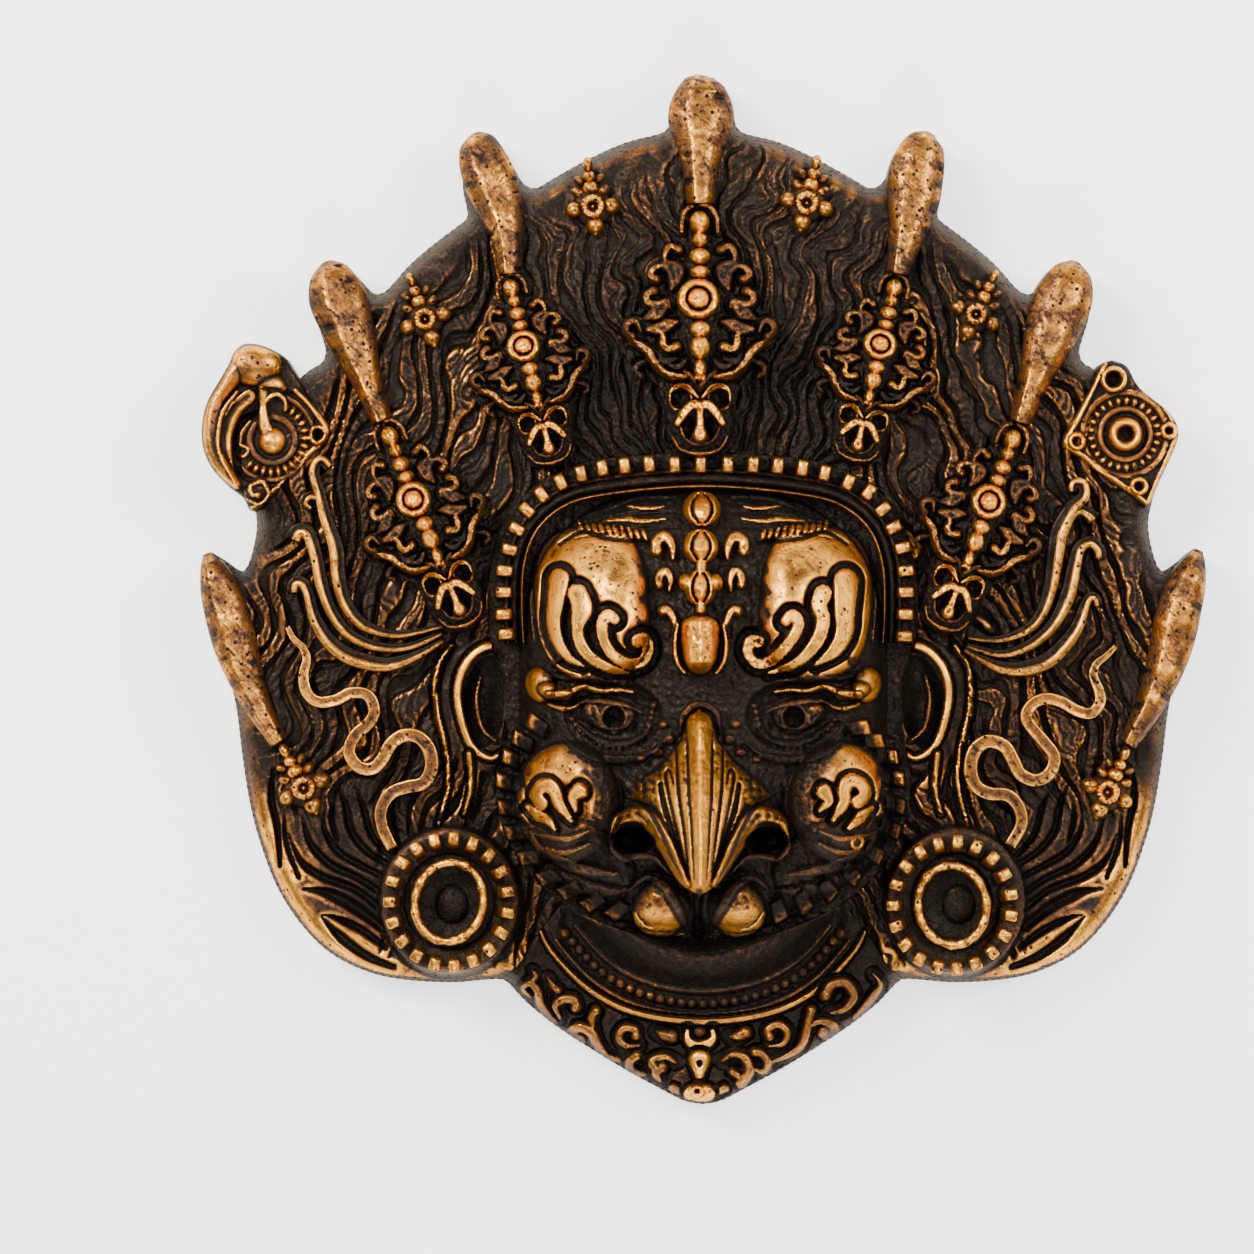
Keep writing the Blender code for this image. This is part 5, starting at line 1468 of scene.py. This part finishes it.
SERPENTS = [
    [
        (-50.9, -4.6), (-50.2, -6.0), (-49.0, -7.2), (-48.5, -8.6), (-48.9, -10.5), (-48.6, -12.5),
        (-47.2, -13.8), (-45.0, -13.6), (-43.0, -12.7), (-41.0, -13.0), (-40.2, -14.8), (-40.8, -16.3),
        (-42.6, -18.0), (-43.3, -20.0), (-42.2, -21.7), (-40.5, -22.0), (-39.2, -20.8), (-38.2, -19.0),
        (-36.6, -17.9), (-34.8, -18.1), (-33.5, -19.6), (-33.2, -21.8), (-34.2, -23.7), (-36.2, -24.2),
        (-38.2, -25.0), (-39.4, -27.0), (-39.2, -29.3), (-38.0, -31.8),
    ],
    [
        (50.6, -7.0), (49.4, -8.2), (48.2, -9.2), (47.8, -10.6), (48.5, -12.5), (48.6, -14.0),
        (47.5, -15.2), (45.8, -14.9), (43.8, -13.8), (42.0, -13.4), (40.4, -14.0), (39.5, -15.6),
        (40.4, -17.2), (41.8, -18.8), (43.0, -20.6), (42.4, -22.6), (40.6, -23.4), (38.8, -22.6),
        (37.9, -20.9), (36.8, -19.2), (34.8, -18.6), (33.2, -19.8), (32.7, -22.0), (33.3, -24.0),
        (35.0, -25.0), (37.2, -25.2), (38.6, -26.6), (39.0, -28.8), (37.6, -31.4),
    ],
]
ribbons = Metal("ribbons")
for points, widths in RIBBONS_LEFT + RIBBONS_RIGHT:
    profile = RIBBON_BAND if points[0][0] < 0 else [(-out, up, rub) for out, up, rub in RIBBON_BAND[::-1]]
    path = spaced(curve_through(points), 0.35)
    sweep(
        ribbons, path, [w * 1.16 for w in widths], [1.3, 2.3, 2.6, 2.6, 2.2], halo_height,
        profile=profile, bright=[0.5, 0.72, 0.8, 0.9, 1.0],
    )
ribbons.make(bronze)
serpents = Metal("serpents")
for points in SERPENTS:
    sweep(
        serpents, spaced(curve_through(points), 0.35), [0.3, 0.7, 0.72, 0.76, 0.8, 0.85, 0.8, 0.7],
        [1.0, 1.9, 1.9, 2.0, 1.9, 1.6], halo_height, profile=FLAT_BAND,
        bright=[1.1, 1.1, 0.9, 1.1, 0.8, 1.1],
    )
serpents.make(bronze)

# The earrings: a hammered bright ring round a dark bowl, in a wheel of square studs.
# They are cast with the wings: the ring is a little out of round, and the studs stand on the disc.
EARRING_STUDS = 19


def hammered_ring(piece, x, y, rx, ry, width, height, base, seed, turn):
    """A ring with a flattened top, beaten a little out of true."""
    rounds, ribs = 96, 12
    luck = np.random.default_rng(seed)
    waves = luck.uniform(0, 2 * math.pi, 5)
    verts, finish = [], []
    for i in range(rounds):
        a = 2 * math.pi * i / rounds
        wobble = sum(math.sin(a * (5 + 3 * k) + w) for k, w in enumerate(waves)) * 0.022
        for j in range(ribs):
            b = 2 * math.pi * j / ribs
            out = width * math.copysign(abs(math.cos(b)) ** 0.8, math.cos(b)) * (1 + wobble * 2)
            up = height * math.copysign(abs(math.sin(b)) ** 0.7, math.sin(b)) * (1 + wobble * 2.5)
            px, py = (rx + out) * math.cos(a), (ry + out) * math.sin(a)
            c, s = math.cos(math.radians(turn)), math.sin(math.radians(turn))
            verts.append((x + px * c - py * s, y + px * s + py * c, base + up))
            top = max(0.0, math.sin(b))
            finish.append((0.15 + 0.95 * min(1, top * 1.5), 0.5 + 0.9 * wobble, 0.35 + 0.3 * top))
    piece.add(verts, tube_faces(rounds, ribs, closed=True), finish)


earrings = Metal("earrings")
for side, centre, tilt in ((-1, (-31.0, -38.2), -14), (1, (30.4, -38.6), 8)):
    x, y = centre
    base = float(halo_height(x, y))
    hammered_ring(earrings, x, y, 4.15, 4.85, 0.62, 1.5, base + 3.2, 5 + side, tilt)
    for number in range(EARRING_STUDS):
        angle = 2 * math.pi * (number + 0.5) / EARRING_STUDS
        sx, sy = x + 6.95 * math.cos(angle), y + 7.5 * math.sin(angle)
        stand_at(
            earrings, stud, sx, sy, (2.1, 1.75, 3.4), float(halo_height(sx, sy)) + 3.2,
            math.degrees(angle), tilt=16,
        )
earrings.make(bronze)

# The small jewels between the blades, and the rosettes below the lower blades: a ring with a hole,
# three petals round it and a drop of beads, cast with the plate and rubbed bright.
JEWELS = [
    ((-14.1, 52.0), (-13.5, 46.8), 1.0), ((13.9, 52.2), (12.7, 47.2), 1.0),
    ((-36.1, 38.8), (-34.0, 33.0), 0.92), ((36.1, 39.2), (33.4, 33.6), 0.92),
    ((-51.4, -19.6), (-48.9, -24.4), 1.0), ((51.9, -19.8), (49.6, -24.9), 1.0),
]
jewels = Metal("jewels")


def jewel(piece, top, centre, size):
    """A drop of three beads above a ring, with petals at its sides and foot."""
    down = (np.array(centre) - top) / math.dist(top, centre)
    turn = math.degrees(math.atan2(down[1], down[0])) + 90

    def put(shape, along, out, radii, seat, lean=0.0, bright=1.0):
        x, y = np.array(centre) + down * along + np.array([-down[1], down[0]]) * out
        height = float(halo_height(x, y)) + seat
        stand_at(piece, shape, x, y, [r * size for r in radii], height, turn + lean, bright)

    put(bead, 0, 0, (2.5, 2.5, 1.4), 0.0, bright=0.28)
    for along, wide, tall in ((-5.2, 0.62, 1.0), (-3.7, 0.8, 0.75), (-2.3, 1.05, 0.95)):
        put(bead, along, 0, (wide, tall, 1.3), 0.7)
    for side in (-1, 1):
        put(bead, 0.1, side * 2.25, (1.2, 1.0, 1.4), 0.5, lean=side * -10, bright=0.85)
        put(bead, -1.9, side * 1.55, (0.9, 0.62, 1.1), 0.5, lean=side * 30, bright=0.7)
        put(bead, -3.4, side * 1.3, (0.75, 0.5, 0.9), 0.4, lean=side * 40, bright=0.6)
    put(bead, 2.3, 0, (1.15, 1.2, 1.4), 0.5, bright=0.85)
    put(bead, 3.1, 0, (0.5, 0.7, 1.0), 0.3)
    x, y = centre
    base = float(halo_height(x, y))
    hammered_ring(piece, x, y, 1.02 * size, 1.02 * size, 0.46 * size, 0.9, base + 1.6, 3, 0)
    put(bead, 0, 0, (0.42, 0.42, 0.9), 1.0)


for top, centre, size in JEWELS:
    jewel(jewels, top, centre, size)
jewels.make(bronze)

# The two ornaments above the ears: on the left a conch shell over a toothed wheel, on the right a
# square setting with a boss in a wheel of beads and a small ring at each corner.
CONCH_EDGE = [
    (-50.4, 27.2), (-51.2, 28.4), (-52.6, 29.3), (-54.4, 30.0), (-56.2, 30.1), (-57.4, 29.2),
    (-58.1, 27.6), (-59.2, 25.6), (-60.6, 23.2), (-61.4, 20.4), (-61.3, 17.4), (-60.2, 14.8),
    (-58.2, 12.6), (-56.4, 11.2), (-55.4, 9.6), (-53.6, 10.2), (-51.0, 13.4), (-47.4, 16.5),
    (-45.6, 19.4), (-48.0, 23.4), (-50.4, 27.2),
]
BRACKET_HEIGHT = 8.2
BRACKET_GRAIN = 0.17
SETTING_MIDDLE = (51.8, 19.0)
SETTING_BEADS = 25
SETTING_EDGE = [
    (50.2, 28.1), (52.0, 27.4), (53.1, 25.4), (53.9, 24.4), (57.2, 21.6), (58.3, 19.6),
    (58.0, 17.6), (56.0, 13.2), (54.5, 10.0), (52.4, 11.4), (49.4, 13.4), (46.4, 15.8),
    (43.9, 17.6), (45.4, 21.0), (47.4, 24.6), (48.6, 27.4), (50.2, 28.1),
]


def bracket_height(x, y):
    return 0 * x + BRACKET_HEIGHT


def rounded_patch(loop, grain, ground, drop=1.2):
    """A patch whose top is rounded down towards its own edge."""
    patch = Carving(loop, grain, ground)
    near = distances(tree_of(loop), patch.x, patch.y)
    patch.edge_drop = drop * (1 - np.sqrt(np.clip(1 - (1 - np.clip(near / drop, 0, 1)) ** 2, 0, 1)))
    return patch


conch = rounded_patch(spaced(curve_through(CONCH_EDGE), BRACKET_GRAIN)[:-1], BRACKET_GRAIN, bracket_height)
conch.bright += 0.24
conch.mound(-53.0, 18.6, 6.0, 6.2, -1.0, blunt=0.3, bright=0.07)
conch.settle()
conch.ring(-52.9, 18.6, 5.2, 0.4, 0.7, bright=0.24)
for degrees in range(-130, 66, 13):
    angle = math.radians(degrees)
    conch.bead(
        -52.9 + 4.15 * math.cos(angle), 18.5 + 4.15 * math.sin(angle), 0.62, 0.32, 1.1, turn=degrees,
        bright=0.82,
    )
conch.ring(-52.8, 18.3, 2.8, 0.5, 0.6, bright=0.2)
conch.line(
    [
        (-49.9, 24.3), (-48.0, 22.4), (-46.2, 20.1), (-45.9, 18.9), (-48.3, 16.4), (-49.8, 14.2),
        (-52.2, 12.4), (-53.6, 10.6), (-55.2, 9.9),
    ],
    [0.3, 0.4, 0.45, 0.45, 0.35, 0.3], 0.9, bright=0.66,
)
conch.line([(-49.4, 23.2), (-48.2, 21.4), (-47.9, 20.6)], [0.3, 0.7, 0.3], 0.5, flat=0.6, bright=0.28)
conch.groove(
    [(-54.4, 21.8), (-56.4, 20.6), (-57.1, 18.2), (-57.1, 15.8), (-56.2, 13.4)],
    [0.3, 0.7, 0.7, 0.55, 0.2], 1.1, bright=0.0,
)
conch.line(
    [(-57.2, 26.8), (-59.5, 24.2), (-60.1, 20.6), (-60.1, 17.6), (-59.0, 15.0), (-57.1, 12.8)],
    [1.5, 1.7, 1.45, 1.35, 1.3, 0.6], 1.9, flat=0.15, bright=0.36,
)
conch.line(
    [(-55.6, 23.6), (-57.4, 21.9), (-58.3, 19.4), (-58.3, 17.0), (-57.6, 14.4)],
    [0.9, 0.95, 0.8, 0.6, 0.2], 1.4, flat=0.6, bright=0.5,
)
conch.line(
    [(-57.0, 24.2), (-58.7, 21.8), (-59.3, 19.1), (-59.2, 16.8), (-58.1, 14.4), (-57.0, 12.6)],
    [0.15, 0.26, 0.28, 0.26, 0.15], 2.1, bright=0.9,
)
conch.bead(-55.0, 27.4, 3.5, 2.6, 2.3, bright=0.5)
conch.bead(-53.0, 25.2, 2.2, 1.5, 1.5, turn=-30, bright=0.45)
conch.line(
    [(-53.8, 24.4), (-53.9, 21.8), (-53.6, 19.8), (-52.9, 18.6)], [0.7, 0.5, 0.8, 1.0], 1.3, bright=0.6,
)
conch.line(
    [(-53.6, 23.0), (-52.4, 23.9), (-51.3, 23.2), (-51.1, 22.0)], [0.3, 0.36, 0.32, 0.2], 1.2,
    bright=0.75,
)
conch.bead(-52.8, 18.2, 1.7, 1.75, 1.7, bright=0.62)
conch.line([(-55.5, 20.6), (-56.5, 19.2), (-56.7, 17.8)], [0.2, 0.3, 0.2], 0.6, bright=0.3)
conch.settle()
conch.ring(-47.2, 18.9, 0.95, 0.26, 0.8, bright=0.9)
conch.mound(-47.2, 18.9, 0.72, 0.72, -0.7)
conch.ring(-56.5, 16.9, 0.65, 0.22, 0.6, bright=0.7)
conch.bead(-54.5, 11.9, 1.75, 1.75, 0.7, bright=0.22)
conch.settle()
conch.hook(
    [
        (-55.9, 11.0), (-54.3, 10.4), (-53.2, 11.6), (-53.9, 13.1), (-55.4, 12.7), (-55.2, 11.6),
        (-54.5, 11.5),
    ],
    0.26, 0.7, bright=0.5,
)
conch.z -= conch.edge_drop
conch_piece = Metal("conch")
conch_piece.add_carving(conch, lambda x, y: 0 * x)
conch_piece.make(bronze)

setting = rounded_patch(
    spaced(curve_through(SETTING_EDGE), BRACKET_GRAIN)[:-1], BRACKET_GRAIN, bracket_height,
)
setting.bright += 0.32
setting.mound(51.7, 19.0, 5.4, 5.4, -0.8, blunt=0.25, bright=0.14)
setting.settle()
setting.line(
    [
        (49.2, 27.6), (47.8, 24.8), (45.9, 21.0), (44.4, 17.8), (46.8, 16.0), (50.0, 13.6), (52.6, 11.8),
        (54.2, 10.6),
    ],
    [0.35, 0.45, 0.45, 0.5, 0.45, 0.35], 0.9, bright=0.85,
)
setting.line(
    [(53.4, 25.2), (56.6, 22.4), (57.9, 19.8), (57.6, 17.4), (55.8, 13.4), (54.6, 10.8)],
    [0.3, 0.4, 0.4, 0.3], 0.7, bright=0.6,
)
for number in range(SETTING_BEADS):
    angle = 2 * math.pi * number / SETTING_BEADS
    setting.bead(
        51.7 + 4.1 * math.cos(angle), 19.0 + 4.1 * math.sin(angle), 0.5, 0.3, 0.8,
        turn=math.degrees(angle), bright=0.85,
    )
setting.ring(51.7, 19.0, 5.1, 0.4, 0.7, bright=0.28)
setting.ring(*SETTING_MIDDLE, 3.1, 0.45, 0.7, bright=0.26)
setting.ring(*SETTING_MIDDLE, 1.5, 0.68, 1.9, bright=0.62)
setting.mound(*SETTING_MIDDLE, 1.0, 1.0, -1.2)
for x, y, radius in ((50.3, 25.7, 1.3), (57.1, 19.4, 0.75), (45.8, 18.1, 0.85), (53.4, 12.6, 0.85)):
    setting.ring(x, y, radius, 0.36, 1.3, bright=0.8)
    setting.mound(x, y, radius * 0.6, radius * 0.6, -0.8)
setting.z -= setting.edge_drop
setting_piece = Metal("square_setting")
setting_piece.add_carving(setting, lambda x, y: 0 * x)
setting_piece.make(bronze)

# The neck and the collar: a smooth crescent under the jaw, a row of beads between two rails, a rim,
# and a pointed border of scrollwork round a cup, a drop and a ring.
COLLAR_GRAIN = 0.16
NECK_BEADS = [(0.0, -50.9), (7.0, -49.8), (12.6, -46.8), (16.8, -42.2)]
COLLAR_RIM = [(0.0, -53.0), (8.0, -52.0), (13.8, -49.2), (18.4, -44.6), (20.2, -41.2)]
COLLAR_SCROLLS = [
    (
        [(-21.2, -50.0), (-22.1, -49.1), (-21.2, -48.3), (-20.2, -49.3), (-19.9, -51.0), (-18.5, -53.2)],
        0.5,
    ),
    ([(-20.9, -46.7), (-20.4, -47.4), (-20.8, -48.0)], 0.35),
    ([(-17.5, -52.6), (-18.1, -51.2), (-17.2, -50.3), (-15.9, -50.3), (-15.5, -51.2)], 0.55),
    ([(-19.0, -47.6), (-18.4, -48.6), (-17.7, -49.2)], 0.4),
    (
        [
            (-10.2, -57.9), (-11.8, -57.4), (-12.9, -55.9), (-13.7, -54.4), (-15.1, -53.8),
            (-16.1, -54.6), (-15.2, -55.4),
        ],
        0.62,
    ),
    ([(-13.4, -54.0), (-13.6, -52.6), (-13.1, -51.7)], 0.5),
    ([(-7.8, -56.0), (-9.4, -56.0), (-10.3, -55.0), (-9.7, -53.9), (-8.4, -54.0), (-8.2, -54.8)], 0.5),
    ([(-7.0, -59.6), (-8.6, -59.3), (-9.0, -58.1), (-8.1, -57.2)], 0.5),
    ([(-5.2, -60.4), (-5.7, -59.4), (-5.0, -58.6)], 0.55),
    ([(-3.3, -58.1), (-4.6, -57.4), (-6.2, -57.9), (-5.6, -58.9)], 0.55),
    ([(-5.6, -54.3), (-4.6, -54.8), (-3.8, -54.9)], 0.62), ([(-2.6, -61.9), (-3.6, -61.3)], 0.42),
    ([(20.9, -47.2), (21.8, -48.6), (20.6, -50.4), (19.0, -52.5)], 0.46),
    ([(15.7, -52.0), (17.4, -51.5), (18.5, -49.9), (17.5, -48.3), (15.8, -48.5), (15.0, -49.8)], 0.6),
    ([(8.7, -58.0), (10.6, -57.2), (12.1, -56.0), (12.9, -53.4), (13.3, -51.6)], 0.5),
    ([(13.0, -53.6), (14.6, -53.0), (16.1, -53.8), (15.6, -54.9), (14.9, -54.4)], 0.6),
    ([(8.1, -56.1), (9.8, -55.8), (10.4, -54.4), (9.3, -53.4), (8.0, -54.0), (8.2, -54.9)], 0.5),
    ([(6.3, -58.9), (7.5, -59.3), (8.0, -58.1), (7.2, -57.0), (6.4, -56.8)], 0.5),
    ([(2.4, -57.9), (3.8, -57.1), (5.2, -57.6), (5.7, -59.2), (4.8, -60.6)], 0.6),
    ([(4.9, -60.2), (4.2, -59.6), (3.6, -59.2)], 0.4), ([(3.4, -54.9), (4.4, -54.8), (5.2, -54.4)], 0.62),
    ([(1.6, -61.9), (2.7, -61.3)], 0.42),
]


def collar_ground(x, y):
    """The neck falls to the bead row, and the collar rises again as a flat border."""
    low = plate_height(x, y)
    ring_out = np.hypot(x, (y + 30.0) * 0.98)
    neck = 3.4 * smooth_step(ring_out, 20.0, 15.0) * (0.3 + 0.7 * smooth_step(ring_out, 12.4, 15.0))
    border = 1.1 * np.maximum(smooth_step(ring_out, 21.2, 22.4), smooth_step(abs(x), 16.0, 18.0))
    return low + neck + border


collar = Carving(collar_loop, COLLAR_GRAIN, collar_ground)
collar.z += 0.06 * swells(collar.x, collar.y, 1.6, 41)
collar.bright += 0.07
for share in (0.93, 1.07):
    rail = [(x * share, -30.0 + (y + 30.0) * share) for x, y in NECK_BEADS]
    collar.line(across(rail), [0.2, 0.32, 0.32, 0.32, 0.2], 0.6, bright=0.15)
for x, y in spaced(curve_through(across(NECK_BEADS)), count=31):
    collar.bead(x, y, 0.66, 0.7, 1.1, bright=0.13)
collar.line(across(COLLAR_RIM), [0.2, 0.42, 0.5, 0.42, 0.2], 1.5, flat=0.3, bright=0.27, moat=0.3)
for points, width in COLLAR_SCROLLS:
    collar.trench(points, width * 1.2, 0.55, 0.8)
for points, width in COLLAR_SCROLLS:
    collar.hook(points, width * 1.15, 1.3, bulb=1.2, flat=0.2, bright=0.22)
collar.line(
    [(-1.9, -54.2), (-1.8, -55.4), (-0.4, -56.1), (1.2, -55.3), (1.2, -54.2)], [0.3, 0.6, 0.75, 0.6, 0.3],
    1.2, bright=0.62, moat=0.5,
)
collar.bead(-0.4, -54.3, 0.75, 0.7, 1.2, bright=0.12)
collar.line([(-0.4, -57.9), (-0.4, -59.5)], [1.45, 0.7], 1.3, flat=0.3, bright=0.8, moat=0.6)
collar.line([(-1.2, -61.9), (0.4, -61.9)], [1.15, 1.15], 1.1, flat=0.4, bright=0.46, moat=0.5)
collar.settle()
collar.ring(-0.7, -61.6, 0.55, 0.2, 0.5, bright=0.95)
collar.mound(-0.7, -61.6, 0.4, 0.4, -0.7)
collar.mound(-0.4, -58.2, 0.4, 0.5, -0.7, bright=0.0)
rounded(collar)
collar_piece = Metal("collar")
collar_piece.add_carving(collar, underside, BACK_GRAIN)
collar_piece.make(bronze)

# The floor that the mask lies on, which is white and plain, and the soft studio light: one lamp
# overhead, one at each side and a weak one below. The camera looks straight down, as in the photo.
PHOTO_SIDE = 1254
PHOTO_MM = 0.1223
PHOTO_MIDDLE = PHOTO_SIDE / 2
MASK_IN_PHOTO = (703, 589)
PHOTO_CENTRE = ((PHOTO_MIDDLE - MASK_IN_PHOTO[0]) * PHOTO_MM, (MASK_IN_PHOTO[1] - PHOTO_MIDDLE) * PHOTO_MM)
CAMERA_HEIGHT = 900.0
FACE_HEIGHT = 10
SENSOR = 36
deselected()
bpy.ops.mesh.primitive_plane_add(size=4)
floor = bpy.context.object
floor.name = "floor"
floor.location.z = MASK_LOW.z - 0.0002
pale = Finish("pale_floor")
pale.shader.inputs["Base Color"].default_value = (0.92, 0.92, 0.92, 1)
pale.shader.inputs["Roughness"].default_value = 0.9
pale.shader.inputs["Emission Color"].default_value = (1, 1, 1, 1)
pale.shader.inputs["Emission Strength"].default_value = 1.5
floor.data.materials.append(pale.material)

camera = bpy.data.objects.new("camera", bpy.data.cameras.new("camera"))
bpy.context.scene.collection.objects.link(camera)
camera.location = (PHOTO_CENTRE[0] * MM, PHOTO_CENTRE[1] * MM, CAMERA_HEIGHT * MM)
camera.data.sensor_width = SENSOR
camera.data.lens = SENSOR * (CAMERA_HEIGHT - FACE_HEIGHT) / (PHOTO_MM * PHOTO_SIDE)
camera.data.clip_start = 0.01
bpy.context.scene.camera = camera


def softbox(name, place, size, power, colour=(1, 1, 1)):
    """A square lamp that looks at the middle of the mask."""
    lamp = bpy.data.lights.new(name, "AREA")
    lamp.size, lamp.energy, lamp.color = size, power, colour
    obj = bpy.data.objects.new(name, lamp)
    bpy.context.scene.collection.objects.link(obj)
    obj.location = place
    obj.rotation_euler = (-Vector(place)).to_track_quat("-Z", "Y").to_euler()


softbox("lamp_top", (0.0, 0.06, 0.96), 0.30, 3.2)
softbox("lamp_left", (-0.42, 0.34, 0.55), 0.30, 11.0, (1.0, 0.97, 0.93))
softbox("lamp_right", (0.46, 0.22, 0.50), 0.30, 4.8, (0.98, 0.98, 1.0))
softbox("lamp_low", (0.05, -0.55, 0.45), 0.35, 2.6)
world = bpy.data.worlds.new("studio")
world.use_nodes = True
world.node_tree.nodes["Background"].inputs["Color"].default_value = (1, 1, 1, 1)
world.node_tree.nodes["Background"].inputs["Strength"].default_value = 0.36
bpy.context.scene.world = world
